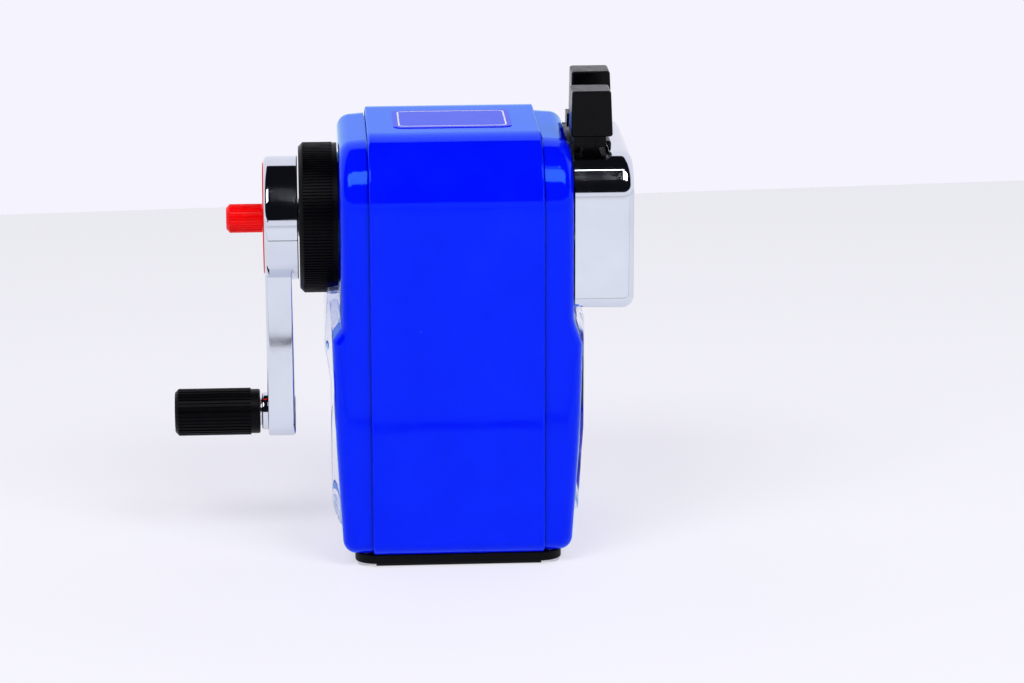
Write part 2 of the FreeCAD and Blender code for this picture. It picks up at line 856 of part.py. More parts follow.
def screw_along_y(x, z, radius, head_radius, head_y, tip_end):
    """Slotted screw whose head bears at head_y and whose tip points to the front."""
    top = head_y + head_radius * screw_head_share
    floor = head_y + head_radius * screw_slot_share
    slot_half = head_radius * screw_slot_half_share
    shank = rod(radius, tip_end, floor, x, z)
    head = turned([(0, head_y, 0), (head_radius, head_y, 0), (head_radius, top, screw_head_round),
                   (0, top, 0)], x, z)
    slot = block(x - head_radius, x + head_radius, floor, top + over, z - slot_half, z + slot_half)
    return shank.fuse(head).cut(slot).removeSplitter()


def make_plate_screws():
    """Four screws that hold the bearing plate to the pads of the front panel."""
    tip_end = -front_face + blind_skin + screw_clearance
    return Part.makeCompound([screw_along_y(x, z, plate_screw_radius, plate_screw_head, bearing_plate_y,
                                            tip_end) for x, z in plate_screw_places()])


def make_gear_screws():
    """Three small screws that hold the ring gear to the bearing plate."""
    tip_end = plate_front_y + screw_clearance
    return Part.makeCompound([screw_along_y(x, z, gear_screw_radius, gear_screw_head, gear_rear_y, tip_end)
                              for x, z in gear_screw_places()])


def make_front_bush():
    """Bronze bush in which the hollow front journal of the carrier turns."""
    front = plate_front_y - front_bush_stand
    bore = journal_radius + running_gap
    return turned([(bore, front, 0), (front_bush_radius, front, 0), (front_bush_radius, bearing_plate_y, 0),
                   (bore, bearing_plate_y, 0)])


def make_ring_gear():
    """Fixed gear with inner teeth; the pinion of the cutter rolls round inside it."""
    body = rod(ring_gear_radius, bearing_plate_y, gear_rear_y)
    recess = ring_pitch + gear_depth / 2 + free_gap
    body = body.cut(rod(recess, bearing_plate_y - over, gear_front_y))
    points = tooth_points(ring_teeth, ring_pitch - gear_depth / 2, ring_pitch + gear_depth / 2,
                          ring_tooth_shares, math.pi / 2)
    wire = polygon([vec(u, gear_front_y - over, axis_height + v) for u, v in points])
    body = body.cut(Part.Face(wire).extrude(vec(0, gear_rear_y - gear_front_y + 2 * over, 0)))
    for x, z in gear_screw_places():
        body = body.cut(rod(gear_screw_radius + screw_clearance / 2, bearing_plate_y - over,
                            gear_rear_y + over, x, z))
    return body


def along_cutter(distance):
    """Point on the cutter's own axis, measured from beside the pencil tip towards the front."""
    return cutter_origin + cutter_axis * distance


def cutter_bar(radius, start, finish):
    return Part.makeCylinder(radius, finish - start, along_cutter(start), cutter_axis)


def cutter_ring_wire(points, distance, scale):
    """Toothed outline square to the cutter's axis; v points away from the main axis."""
    outward = vec(0, cutter_axis.z, -cutter_axis.y)
    centre = along_cutter(distance)
    return polygon([centre + vec(1, 0, 0) * (u * scale) + outward * (v * scale) for u, v in points])


def stations_of(y):
    """Distance along the cutter's axis that lies over the given y."""
    return (cutter_origin.y - y) / -cutter_axis.y


def make_helical_cutter():
    """Hardened milling cutter with sloping teeth."""
    step = cutter_length / cutter_steps
    start = stations_of(tip_y + cutter_tail)
    wires = []
    for i in range(cutter_steps + 1):
        phase = math.pi / 2 + math.radians(cutter_twist) * i / cutter_steps
        points = tooth_points(cutter_teeth, cutter_radius - cutter_tooth_depth, cutter_radius,
                              cutter_tooth_shares, phase)
        wires.append(cutter_ring_wire(points, start + i * step, 1.0))
    body = Part.makeLoft(wires, True, True)
    return body.cut(cutter_bar(spindle_radius + running_gap, start - over, start + cutter_length + over))


def make_cutter_pinion():
    """Pinion in one with the cutter; it narrows to the front so that it meshes at its tilt."""
    lean = pinion_pitch * cutter_axis.z
    rear = stations_of(gear_rear_y - free_gap)
    front = stations_of(gear_front_y + free_gap + lean)
    points = tooth_points(pinion_teeth, pinion_pitch - gear_depth / 2,
                          pinion_pitch + gear_depth / 2 - gear_tip_gap, pinion_tooth_shares, math.pi / 2)
    middle = (rear + front) / 2
    wires = []
    for distance in (rear, front):
        scale = 1 + (distance - middle) * slope * cutter_axis.y / pinion_pitch
        wires.append(cutter_ring_wire(points, distance, scale))
    body = Part.makeLoft(wires, True, True)
    hub = cutter_bar(spindle_radius + pinion_hub_wall, stations_of(tip_y + cutter_tail) + cutter_length,
                     rear + root)
    return body.fuse(hub).cut(cutter_bar(spindle_radius + running_gap, 0, 2 * cutter_length))


def spindle_bar(radius):
    """Bar between the two cheeks of the carrier, on the cutter's axis."""
    return cutter_bar(radius, stations_of(carrier_cheek_y + cheek_thickness),
                      stations_of(cheek_front_y + spindle_set_back))


def make_cutter_spindle():
    return spindle_bar(spindle_radius)


def make_carrier():
    """Die-cast turning frame: hollow front journal, two cheeks, a trough and the crank shaft."""
    journal = rod(journal_radius, -front_face + panel_wall + free_gap, cheek_front_y)
    front_cheek = rod(cheek_radius, cheek_front_y, cheek_rear_y)
    rear_cheek = rod(trough_radius, carrier_cheek_y, carrier_end_y)
    trough = rod(trough_radius, cheek_rear_y - root, carrier_cheek_y + root)
    trough = trough.cut(block(-2 * trough_radius, 2 * trough_radius, cheek_rear_y - over,
                              carrier_cheek_y + over, axis_height + trough_top,
                              axis_height + 2 * trough_radius))
    shaft = turned([(0, carrier_end_y - root, 0), (shaft_radius, carrier_end_y - root, 0),
                    (shaft_radius, hub_start - seat_gap, 0), (shaft_tail_radius, hub_start - seat_gap, 0),
                    (shaft_tail_radius, nut_start - seat_gap, 0),
                    (shaft_thread_radius, nut_start - seat_gap, 0),
                    (shaft_thread_radius, nut_end + free_gap, 0), (0, nut_end + free_gap, 0)])
    collar_back = unit_hub_start - free_gap
    collar = rod(thrust_collar_radius, collar_back - thrust_collar_length, collar_back)
    body = fused([journal, front_cheek, trough, rear_cheek, shaft, collar])
    point_end = tip_y + point_room
    bore_radius = stop_rod_radius + running_gap
    channel = turned([(0, -front_face, 0), (pencil_passage, -front_face, 0),
                      (pencil_passage, cone_base_y, 0), (bore_radius, point_end, 0), (0, point_end, 0)])
    bore = rod(bore_radius, tip_y, hub_end)
    room_start = stations_of(tip_y + cutter_tail) - cutter_end_gap
    cutter_room = cutter_bar(cutter_radius + cutter_room_gap, room_start, room_start + 2 * cutter_length)
    behind_cheek = block(-cheek_radius, cheek_radius, cheek_rear_y, carrier_end_y,
                         axis_height - cheek_radius, axis_height + 2 * cheek_radius)
    cutter_room = cutter_room.common(behind_cheek)
    seat = spindle_bar(spindle_radius + press_gap)
    return body.cut(channel).cut(bore).cut(cutter_room).cut(seat).removeSplitter()


# ================================================================ rear lock


def make_unit_flange():
    """Fixed disc and hub of the cutter unit, held in the collar by the ring cap."""
    rim = collar_bore - seat_gap
    hub = unit_hub_radius
    body = turned([(rear_bush_radius, unit_hub_start, 0), (hub, unit_hub_start, 0), (hub, unit_disc_start, 0),
                   (rim, unit_disc_start, 0), (rim, unit_disc_end, 0), (rear_bush_radius, unit_disc_end, 0)])
    ribs = []
    for i in range(unit_ribs):
        rib = block(hub - root, rim - unit_rib_inset, unit_disc_start - unit_rib_height,
                    unit_disc_start + root, axis_height - unit_rib_half, axis_height + unit_rib_half)
        rib.rotate(vec(0, 0, axis_height), vec(0, 1, 0), 360 / unit_ribs * i)
        ribs.append(rib)
    return fused([body] + ribs)


def make_rear_bush():
    bore = shaft_radius + running_gap
    return turned([(bore, unit_hub_start, 0), (rear_bush_radius, unit_hub_start, 0),
                   (rear_bush_radius, unit_disc_end, 0), (bore, unit_disc_end, 0)])


def ribbed_bar(ribs, outer, depth, y0, y1, x=0.0, z=axis_height):
    """Bar along Y with fine ribs all round."""
    points = tooth_points(ribs, outer - depth, outer, rib_shares, 0)
    return Part.Face(polygon([vec(x + u, y0, z + v) for u, v in points])).extrude(vec(0, y1 - y0, 0))


def bevelled_bar(radius, bevel, y0, y1, z=axis_height):
    """Bar that only bevels the far end of what it is intersected with."""
    return turned([(0, y0, 0), (radius + over, y0, 0), (radius + over, y1 - bevel - over, 0),
                   (radius - bevel, y1, 0), (0, y1, 0)], 0, z)


def make_ring_cap():
    """Ribbed twist-lock ring that holds the cutter unit in the collar."""
    ribs = ribbed_bar(cap_ribs, cap_radius, cap_rib_depth, cap_start + cap_plain_band, cap_end)
    band = rod(cap_radius - cap_rib_depth / 2, cap_start, cap_start + cap_plain_band)
    collar_outer = collar_bore + collar_wall
    inner = collar_outer + lip_height + 2 * seat_gap
    body = ribs.common(bevelled_bar(cap_radius, cap_chamfer, cap_start, cap_end)).fuse(band)
    body = body.cut(rod(inner, cap_start - over, cap_end - cap_end_wall))
    body = body.cut(rod(cap_mouth, cap_start - over, cap_end + over))
    for angle in lock_angles():
        body = body.fuse(arc_segment(collar_outer + seat_gap, inner + root, cap_start + lug_inset,
                                     lip_y - seat_gap, angle, lug_angle - lug_side_angle))
    return body


# ================================================================ crank


def arm_edges(arm):
    """Long edges of the arm below the hub, on its front and back faces."""
    chosen = []
    for edge in arm.Edges:
        ends = [v.Point for v in edge.Vertexes]
        on_face = any(all(abs(p.y - y) < 1e-6 for p in ends) for y in (hub_end, arm_foot_start))
        if on_face and min(p.z for p in ends) < axis_height - over:
            chosen.append(edge)
    return chosen


def make_crank_arm():
    """Round hub and straight arm, moulded in one and plated."""
    hub = turned([(0, hub_start, 0), (hub_radius, hub_start, hub_back_round),
                  (hub_radius, hub_end, hub_edge_round), (0, hub_end, 0)])
    z = handle_height
    arm = prism([(-arm_top_half, axis_height, 0), (-arm_foot_radius, z, 0), (arm_foot_radius, z, 0),
                 (arm_top_half, axis_height, 0)], on_front(arm_foot_start),
                vec(0, hub_end - arm_foot_start, 0))
    arm = arm.fuse(rod(arm_foot_radius, arm_foot_start, hub_end, 0, z)).removeSplitter()
    arm = arm.makeFillet(arm_edge_radius, arm_edges(arm))
    foot_z = z - arm_foot_radius - over
    slant = prism([(arm_foot_start - over, foot_z, 0), (arm_foot_start, foot_z, 0),
                   (arm_start, axis_height, 0), (arm_foot_start - over, axis_height, 0)],
                  on_side(-hub_radius), vec(2 * hub_radius, 0, 0))
    boss = turned([(0, hub_end - root, 0), (arm_boss_radius, hub_end - root, 0),
                   (arm_boss_radius, arm_boss_end, arm_boss_round), (0, arm_boss_end, 0)], 0, z)
    body = hub.fuse(arm.cut(slant)).fuse(boss)
    body = body.cut(rod(shaft_tail_radius + running_gap, hub_start - over, nut_start))
    body = body.cut(rod(nut_pocket, nut_start, hub_end + over))
    body = body.cut(rod(handle_pin_radius + running_gap, arm_foot_start - over, arm_boss_end + over, 0, z))
    pin_head_room = arm_foot_start + handle_pin_head_length + seat_gap
    body = body.cut(rod(handle_pin_head + seat_gap, arm_foot_start - over, pin_head_room, 0, z))
    return body.removeSplitter()


def make_crank_nut():
    """Hexagonal nut that holds the crank on the shaft."""
    corner = nut_flats / 2 / math.cos(math.pi / 6)
    turns = [math.pi * i / 3 for i in range(6)]
    points = [vec(corner * math.cos(turn), nut_start, axis_height + corner * math.sin(turn))
              for turn in turns]
    nut = Part.Face(polygon(points)).extrude(vec(0, nut_thickness, 0))
    return nut.cut(rod(shaft_thread_radius + thread_gap, nut_start - over, nut_end + over))


def make_dial_disc():
    """Thin coloured disc on the face of the hub, round the adjuster."""
    bore = knob_neck_radius + dial_bore_gap
    end = hub_end + dial_thickness
    return turned([(bore, hub_end, 0), (dial_radius, hub_end, 0), (dial_radius, end, 0), (bore, end, 0)])


def make_handle_pin():
    """Steel pin riveted into the arm; its collar keeps the handle off the arm."""
    head_end = arm_foot_start + handle_pin_head_length
    collar_start = arm_boss_end + running_gap
    collar_end_y = handle_start - seat_gap
    tip = handle_end - handle_cap_wall - free_gap
    return turned([(0, arm_foot_start, 0), (handle_pin_head, arm_foot_start, handle_pin_head_round),
                   (handle_pin_head, head_end, 0), (handle_pin_radius, head_end, 0),
                   (handle_pin_radius, collar_start, 0), (handle_pin_collar, collar_start, 0),
                   (handle_pin_collar, collar_end_y, 0), (handle_pin_radius, collar_end_y, 0),
                   (handle_pin_radius, tip, 0), (0, tip, 0)], 0, handle_height)


def make_handle_grip():
    """Ribbed handle with a plain collar at the arm's end."""
    z = handle_height
    collar_end_y = handle_start + handle_collar
    plain = handle_radius - handle_rib_depth
    ribs = ribbed_bar(handle_ribs, handle_radius, handle_rib_depth, collar_end_y, handle_end, 0, z)
    ribs = ribs.common(bevelled_bar(handle_radius, handle_chamfer, handle_start, handle_end, z))
    collar = turned([(0, handle_start, 0), (plain, handle_start, handle_collar_round),
                     (plain, collar_end_y + root, 0), (0, collar_end_y + root, 0)], 0, z)
    bore = rod(handle_pin_radius + running_gap, handle_start - over, handle_end - handle_cap_wall, 0, z)
    return ribs.fuse(collar).cut(bore)


def make_adjuster_knob():
    """Ribbed knob that sets how far back the stop rod lets the point go."""
    ribs = ribbed_bar(knob_ribs, knob_radius, knob_rib_depth, knob_start, knob_end)
    ribs = ribs.common(bevelled_bar(knob_radius, knob_bevel, knob_start, knob_end))
    neck = rod(knob_neck_radius, nut_end + 2 * free_gap, knob_start + root)
    return ribs.fuse(neck).cut(rod(stop_rod_radius + running_gap, nut_start, knob_end - knob_end_wall))


def make_stop_rod():
    """Rod through the shaft that the point rests on; half of its end is cut away for the cutter."""
    start = tip_y + stop_tip_gap
    bar = rod(stop_rod_radius, start, knob_end - knob_end_wall - free_gap)
    wide = stop_rod_radius + over
    relief = block(-wide, wide, start - over, start + stop_rod_travel + stop_relief_spare,
                   axis_height - stop_relief_drop, axis_height + wide)
    return bar.cut(relief)


# ================================================================ sliding carriage


def face_corners(shrink):
    x = face_width / 2 - shrink
    return [(-x, face_bottom + shrink, face_bottom_radius - shrink),
            (x, face_bottom + shrink, face_bottom_radius - shrink),
            (x, face_top - shrink, face_top_radius - shrink),
            (-x, face_top - shrink, face_top_radius - shrink)]


def make_face_housing():
    """Plated hood of the carriage, open to the back, with a notch on top for the levers."""
    outer = prism(face_corners(0), on_front(-face_start), vec(0, face_start - face_end, 0))
    front = [e for e in outer.Edges if all(abs(v.Y + face_end) < 1e-6 for v in e.Vertexes)]
    outer = outer.makeFillet(face_edge_radius, front)
    under = prism([(-face_start, face_bottom - over, 0), (-face_start, face_bottom + face_rise, 0),
                   (-face_end, face_bottom, 0), (-face_end, face_bottom - over, 0)],
                  on_side(-face_width / 2), vec(face_width, 0, 0))
    inner = prism(face_corners(face_wall), on_front(over - face_start),
                  vec(0, face_start - face_end + face_wall - over, 0))
    ledge = face_top - notch_slope
    notch = prism([(over - face_start, ledge, 0), (-notch_end, ledge, notch_round),
                   (-notch_end - notch_slope, face_top, notch_round),
                   (-notch_end - notch_slope, face_top + over, 0), (over - face_start, face_top + over, 0)],
                  on_side(-notch_half_width), vec(2 * notch_half_width, 0, 0))
    throat_half = notch_half_width - notch_ledge
    throat = block(-throat_half, throat_half, cover_front_y - free_gap, over - face_start,
                   face_top - face_wall - over, face_top + over)
    body = outer.cut(under).cut(inner).cut(notch).cut(throat)
    body = body.cut(rod(entry_bush_radius, -face_end - over, -face_start))
    for x, z in cover_post_places():
        body = body.fuse(rod(cover_post_radius, face_wall / 2 - face_end, cover_front_y, x, z))
        body = body.cut(rod(cover_screw_radius + thread_gap, face_wall + cover_screw_skin - face_end,
                            cover_front_y + over, x, z))
    return body.removeSplitter()


def cover_post_places():
    return [(x, z) for x in (-rod_x, rod_x)
            for z in (axis_height - cover_post_drop, axis_height + cover_post_rise)]


def chuck_sheet(y0, y1):
    """Black inner plate of the chuck, with the holes that both plates share."""
    x = face_width / 2 - face_wall - free_gap
    low = face_bottom + face_wall + face_rise + free_gap
    high = face_top - face_wall - free_gap
    radius = face_top_radius - face_wall
    plate = prism([(-x, low, chuck_low_corner), (x, low, chuck_low_corner), (x, high, radius),
                   (-x, high, radius)], on_front(y0), vec(0, y1 - y0, 0))
    tongue_x = notch_half_width - notch_ledge - free_gap
    plate = plate.fuse(block(-tongue_x, tongue_x, y0, y1, face_top - face_top_radius,
                             stem_bottom - tongue_drop))
    holes = [(pencil_passage + chuck_hole_gap, 0, axis_height)]
    holes += [(rod_radius + thread_gap, x, axis_height) for x in (-rod_x, rod_x)]
    holes += [(cover_screw_radius + screw_clearance, x, z) for x, z in cover_post_places()]
    holes += [(pivot_radius + press_gap, x, pivot_height) for x in (-pivot_x, pivot_x)]
    for hole_radius, x, z in holes:
        plate = plate.cut(rod(hole_radius, y0 - over, y1 + over, x, z))
    return plate.removeSplitter()


def make_chuck_plate():
    """Back plate of the chuck, counterbored for the heads of the cover screws."""
    plate = chuck_sheet(chuck_front_y, chuck_back_y)
    for x, z in cover_post_places():
        plate = plate.cut(rod(cover_screw_head + screw_clearance, chuck_back_y - cover_screw_sink,
                              chuck_back_y + over, x, z))
    return plate


def make_chuck_cover():
    """Front plate of the chuck, on four spacers that keep it off the back plate."""
    plate = chuck_sheet(cover_front_y, cover_back_y)
    for x, z in cover_post_places():
        spacer = rod(cover_post_radius, cover_back_y, chuck_front_y, x, z)
        hole = rod(cover_screw_radius + screw_clearance, cover_back_y, chuck_front_y, x, z)
        plate = plate.fuse(spacer.cut(hole))
    return plate.removeSplitter()


def make_cover_screws():
    """Four screws that hold the chuck together and to the posts of the face housing."""
    head_y = chuck_back_y - cover_screw_sink
    tip_end = face_wall + cover_screw_skin + 2 * screw_clearance - face_end
    return Part.makeCompound([screw_along_y(x, z, cover_screw_radius, cover_screw_head, head_y, tip_end)
                              for x, z in cover_post_places()])


def make_guide_rods():
    """Two steel rods on which the carriage slides out of the body."""
    rods = []
    for x in (-rod_x, rod_x):
        shank = rod(rod_radius, cover_front_y - root, rod_inner_end, x)
        head = rod(rod_head_radius, cover_front_y - rod_head_thickness, cover_front_y - running_gap, x)
        collar = rod(rod_head_radius, cover_back_y + seat_gap, chuck_front_y - seat_gap, x)
        rods.append(fused([shank, head, collar]))
    return Part.makeCompound(rods)


def make_rod_stops():
    """Washers on the inner ends of the rods, against which the return springs push."""
    stops = []
    for x in (-rod_x, rod_x):
        washer = rod(rod_stop_radius, rod_stop_front, rod_stop_back, x)
        stops.append(washer.cut(rod(rod_radius + press_gap, rod_stop_front - over, rod_stop_back + over, x)))
    return Part.makeCompound(stops)


def make_guide_bushes():
    """Two plastic bushes that carry the guide rods."""
    flange_end = bearing_plate_y + guide_bush_flange_length
    bushes = []
    for x in (-rod_x, rod_x):
        sleeve = rod(guide_bush_radius, -front_face + screw_clearance, flange_end, x)
        flange = rod(guide_bush_flange, bearing_plate_y, flange_end, x)
        bore = rod(rod_radius + running_gap, -front_face - over, flange_end + over, x)
        bushes.append(sleeve.fuse(flange).cut(bore).removeSplitter())
    return Part.makeCompound(bushes)


def coil_spring(radius, wire, coils, start, finish, direction):
    """Helical spring between two points along a direction."""
    length = (finish - start).Length - wire
    helix = Part.makeHelix(length / coils, length, radius)
    section = Part.Wire(Part.makeCircle(wire / 2, vec(radius, 0, 0), vec(0, 1, 0)))
    spring = Part.Wire(helix.Edges).makePipeShell([section], True, True)
    turn = FreeCAD.Rotation(vec(0, 0, 1), direction)
    spring.Placement = FreeCAD.Placement(start + direction * (wire / 2), turn)
    return spring


def make_return_springs():
    """Springs round the guide rods that pull the carriage back to the body."""
    start_y = bearing_plate_y + guide_bush_flange_length + seat_gap
    end_y = rod_stop_front - seat_gap
    radius = rod_radius + spring_wire / 2 + spring_rod_gap
    return Part.makeCompound([coil_spring(radius, spring_wire, spring_coils, vec(x, start_y, axis_height),
                                          vec(x, end_y, axis_height), vec(0, 1, 0)) for x in (-rod_x, rod_x)])


def make_lever(side):
    """Rocking lever: thumb tab on top, pivot in the middle, jaw at the bottom."""
    px = side * pivot_x
    left = px - stem_half_width
    right = px + stem_half_width
    hub = rod(lever_hub_radius, lever_front_y, lever_back_y, px, pivot_height)
    neck = block(left, right, lever_front_y, lever_back_y, pivot_height, stem_bottom + root)
    stem = block(left, right, -stem_front, -stem_back, stem_bottom, tab_bottom + root)
    back = tab_back + max(side, 0) * tab_stagger
    front = tab_front + max(side, 0) * tab_stagger
    tab = prism([(-back, tab_bottom, tab_corner), (-front, tab_bottom, tab_corner),
                 (-front + tab_taper, tab_top, tab_corner), (-back - tab_taper / 2, tab_top, tab_corner)],
                on_side(px - tab_width / 2), vec(tab_width, 0, 0))
    sides = [e for e in tab.Edges if abs(e.Vertexes[0].X - e.Vertexes[-1].X) < 1e-6]
    tab = tab.makeFillet(tab_side_round, sides)
    inner = side * (jaw_gap + jaw_pad)
    low = axis_height - jaw_height / 2
    high = axis_height + jaw_height / 2
    arm = prism([(inner, low, 0), (inner + side * jaw_arm_foot, low, jaw_arm_round),
                 (px + side * jaw_arm_outer, pivot_height - jaw_arm_drop, 0),
                 (px - side * jaw_arm_inner, pivot_height + jaw_arm_rise, 0), (inner, high, jaw_arm_round)],
                on_front(lever_front_y), vec(0, lever_thickness, 0))
    return fused([hub, neck, stem, tab, arm])


def finger_layers():
    """The two fingers share the thickness of the levers, one behind the other."""
    return lever_mid_y - lever_side_gap / 2, lever_mid_y + lever_side_gap / 2


def lever_holes(lever, side):
    """Cuts the pivot's bore and the seat of the jaw spring."""
    px = side * pivot_x
    bore = rod(pivot_radius + running_gap, lever_front_y - over, lever_back_y + over, px, pivot_height)
    seat_start = vec(px - side * stem_half_width, lever_mid_y, jaw_spring_height)
    seat = Part.makeCylinder(jaw_spring_radius + spring_seat_gap, spring_seat_depth, seat_start,
                             vec(side, 0, 0))
    return lever.cut(bore).cut(seat).removeSplitter()


def make_left_lever():
    """Lever with a round nub that turns the other lever with it."""
    front_layer = finger_layers()[0]
    finger = block(-pivot_x, nub_radius, lever_front_y, front_layer, pivot_height - finger_half,
                   pivot_height + finger_half)
    nub = rod(nub_radius, front_layer - root, lever_back_y - seat_gap, 0, pivot_height)
    return lever_holes(fused([make_lever(-1), finger, nub]), -1)


def make_right_lever():
    """Lever with a slot round the nub."""
    back_layer = finger_layers()[1]
    finger = block(-slot_reach, pivot_x, back_layer, lever_back_y, pivot_height - finger_half,
                   pivot_height + finger_half)
    slot_half = nub_radius + slot_clearance
    slot = block(-slot_reach - over, slot_half + slot_end_gap, back_layer - over, lever_back_y + over,
                 pivot_height - slot_half, pivot_height + slot_half)
    lever = fused([make_lever(1), finger.cut(slot)])
    relief = block(-slot_reach - over, pivot_x - lever_hub_radius - over, lever_front_y - over, back_layer,
                   pivot_height - finger_half - over, pivot_height + finger_half + over)
    return lever_holes(lever.cut(relief), 1)


def make_jaw(side):
    """Rubber pad with a shallow V that grips the pencil."""
    inner = side * jaw_gap
    outer = side * (jaw_gap + jaw_pad)
    low = axis_height - jaw_height / 2
    high = axis_height + jaw_height / 2
    valley = side * (jaw_gap + jaw_pad * jaw_valley_share)
    points = [(inner, low), (outer, low), (outer, high), (inner, high), (valley, axis_height)]
    wire = polygon([vec(u, lever_front_y + jaw_end_gap, v) for u, v in points])
    return Part.Face(wire).extrude(vec(0, lever_thickness - 2 * jaw_end_gap, 0))


def make_left_jaw():
    return make_jaw(-1)


def make_right_jaw():
    return make_jaw(1)


def make_pivot_pins():
    """Two pins through both plates of the chuck, on which the levers rock."""
    return Part.makeCompound([rod(pivot_radius, cover_front_y - pivot_head_stand, chuck_back_y, x,
                                  pivot_height) for x in (-pivot_x, pivot_x)])


def make_jaw_spring():
    """Spring that pushes the two levers apart above their pivots, closing the jaws."""
    reach = pivot_x - stem_half_width + spring_seat_depth - seat_gap
    return coil_spring(jaw_spring_radius, jaw_spring_wire, jaw_spring_coils,
                       vec(-reach, lever_mid_y, jaw_spring_height),
                       vec(reach, lever_mid_y, jaw_spring_height), vec(1, 0, 0))


def make_entry_bush():
    """Black funnel ring that guides the pencil into the chuck."""
    front = -face_end - entry_flange_thickness
    back = cover_front_y - entry_bush_end_gap
    sleeve = entry_bush_radius - seat_gap
    return turned([(entry_radius, back, 0), (sleeve, back, 0), (sleeve, -face_end, 0),
                   (entry_flange_radius, -face_end, 0), (entry_flange_radius, front, entry_flange_round),
                   (entry_radius + entry_funnel, front, 0), (entry_radius, front + entry_funnel, 0)])


# ================================================================ drawer


def drawer_front_body(back):
    """Domed front of the drawer, from its outer face to the line (y, z, radius) of its back."""
    low = drawer_front_low
    high = drawer_front_high
    half = drawer_front_half
    crest = front_belly + free_gap + drawer_front_peak
    toe = front_panel_line(low) + free_gap + drawer_front_toe
    face = [(-toe, low, 0), (-crest, high - drawer_front_brow, drawer_brow_radius),
            (-crest + drawer_lip, high, drawer_lip_radius)]
    slab = prism(face + back, on_side(-half), vec(2 * half, 0, 0))
    corner_y = drawer_front_crown - crest
    plan = Part.Wire([
        Part.Arc(vec(-half, corner_y, low), vec(0, -crest - drawer_crown_spare, low),
                 vec(half, corner_y, low)).toShape(),
        Part.LineSegment(vec(half, corner_y, low), vec(half, 0, low)).toShape(),
        Part.LineSegment(vec(half, 0, low), vec(-half, 0, low)).toShape(),
        Part.LineSegment(vec(-half, 0, low), vec(-half, corner_y, low)).toShape()])
    return slab.common(Part.Face(plan).extrude(vec(0, 0, high - low)))


def front_panel_line(z):
    """How far the front panel stands out at a height below its crown."""
    share = (z - body_bottom) / (belly_crown_height - body_bottom)
    return front_toe + (front_belly - belly_crown_drop - front_toe) * share


def make_shavings_drawer():
    """Clear tray with a domed front that laps over the mouth and follows the front panel."""
    x = drawer_half_width
    inside = drawer_tray_set_back - front_toe
    tray = block(-x, x, inside, drawer_back, drawer_bottom, drawer_top)
    hollow = block(drawer_wall - x, x - drawer_wall, -front_face, drawer_back - drawer_wall,
                   drawer_bottom + drawer_wall, drawer_top + over)
    back = [
        (-front_face, drawer_front_high, 0),
        (-front_face, front_step_top, front_step_radius),
        (-front_belly, front_step_low, front_step_low_radius),
        (belly_crown_drop - front_belly, belly_crown_height, belly_crown_radius),
        (-front_panel_line(drawer_front_low), drawer_front_low, 0),
    ]
    front = drawer_front_body([(y - free_gap, z, radius) for y, z, radius in back])
    neck_x = x - drawer_neck_inset
    neck_low = drawer_bottom + drawer_neck_inset
    neck_high = drawer_top + drawer_neck_rise
    neck = prism([(-neck_x, neck_low, drawer_neck_low_corner), (neck_x, neck_low, drawer_neck_low_corner),
                  (neck_x, neck_high, drawer_neck_high_corner),
                  (-neck_x, neck_high, drawer_neck_high_corner)],
                 on_front(inside + seat_gap), vec(0, -front_belly, 0))
    filled = drawer_front_body([(inside, drawer_front_high, 0), (inside, drawer_front_low, 0)])
    return tray.cut(hollow).fuse(front).fuse(neck.common(filled)).removeSplitter()


nodes = {
    "body_shell": make_body_shell,
    "front_panel": make_front_panel,
    "rear_panel": make_rear_panel,
    "base_plate": make_base_plate,
    "rubber_pad": make_rubber_pad,
    "base_screws": make_base_screws,
    "drawer_bay": make_drawer_bay,
    "rear_window": make_rear_window,
    "top_label": make_top_label,
    "bearing_plate": make_bearing_plate,
    "plate_screws": make_plate_screws,
    "gear_screws": make_gear_screws,
    "front_bush": make_front_bush,
    "ring_gear": make_ring_gear,
    "helical_cutter": make_helical_cutter,
    "cutter_pinion": make_cutter_pinion,
    "cutter_spindle": make_cutter_spindle,
    "carrier": make_carrier,
    "unit_flange": make_unit_flange,
    "rear_bush": make_rear_bush,
    "ring_cap": make_ring_cap,
    "crank_arm": make_crank_arm,
    "crank_nut": make_crank_nut,
    "dial_disc": make_dial_disc,
    "handle_pin": make_handle_pin,
    "handle_grip": make_handle_grip,
    "adjuster_knob": make_adjuster_knob,
    "stop_rod": make_stop_rod,
    "face_housing": make_face_housing,
    "chuck_plate": make_chuck_plate,
    "chuck_cover": make_chuck_cover,
    "cover_screws": make_cover_screws,
    "guide_rods": make_guide_rods,
    "rod_stops": make_rod_stops,
    "guide_bushes": make_guide_bushes,
    "return_springs": make_return_springs,
    "left_lever": make_left_lever,
    "right_lever": make_right_lever,
    "left_jaw": make_left_jaw,
    "right_jaw": make_right_jaw,
    "pivot_pins": make_pivot_pins,
    "jaw_spring": make_jaw_spring,
    "entry_bush": make_entry_bush,
    "shavings_drawer": make_shavings_drawer,
}

os.makedirs("parts", exist_ok=True)
for name, make in nodes.items():
    shape = make()
    assert shape.isValid(), name
    print(name, len(shape.Solids), round(shape.Volume, 1))
    shape.exportStep("parts/" + name + ".step")
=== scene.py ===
import json
import math

import bmesh
import bpy
from mathutils import Matrix, Vector


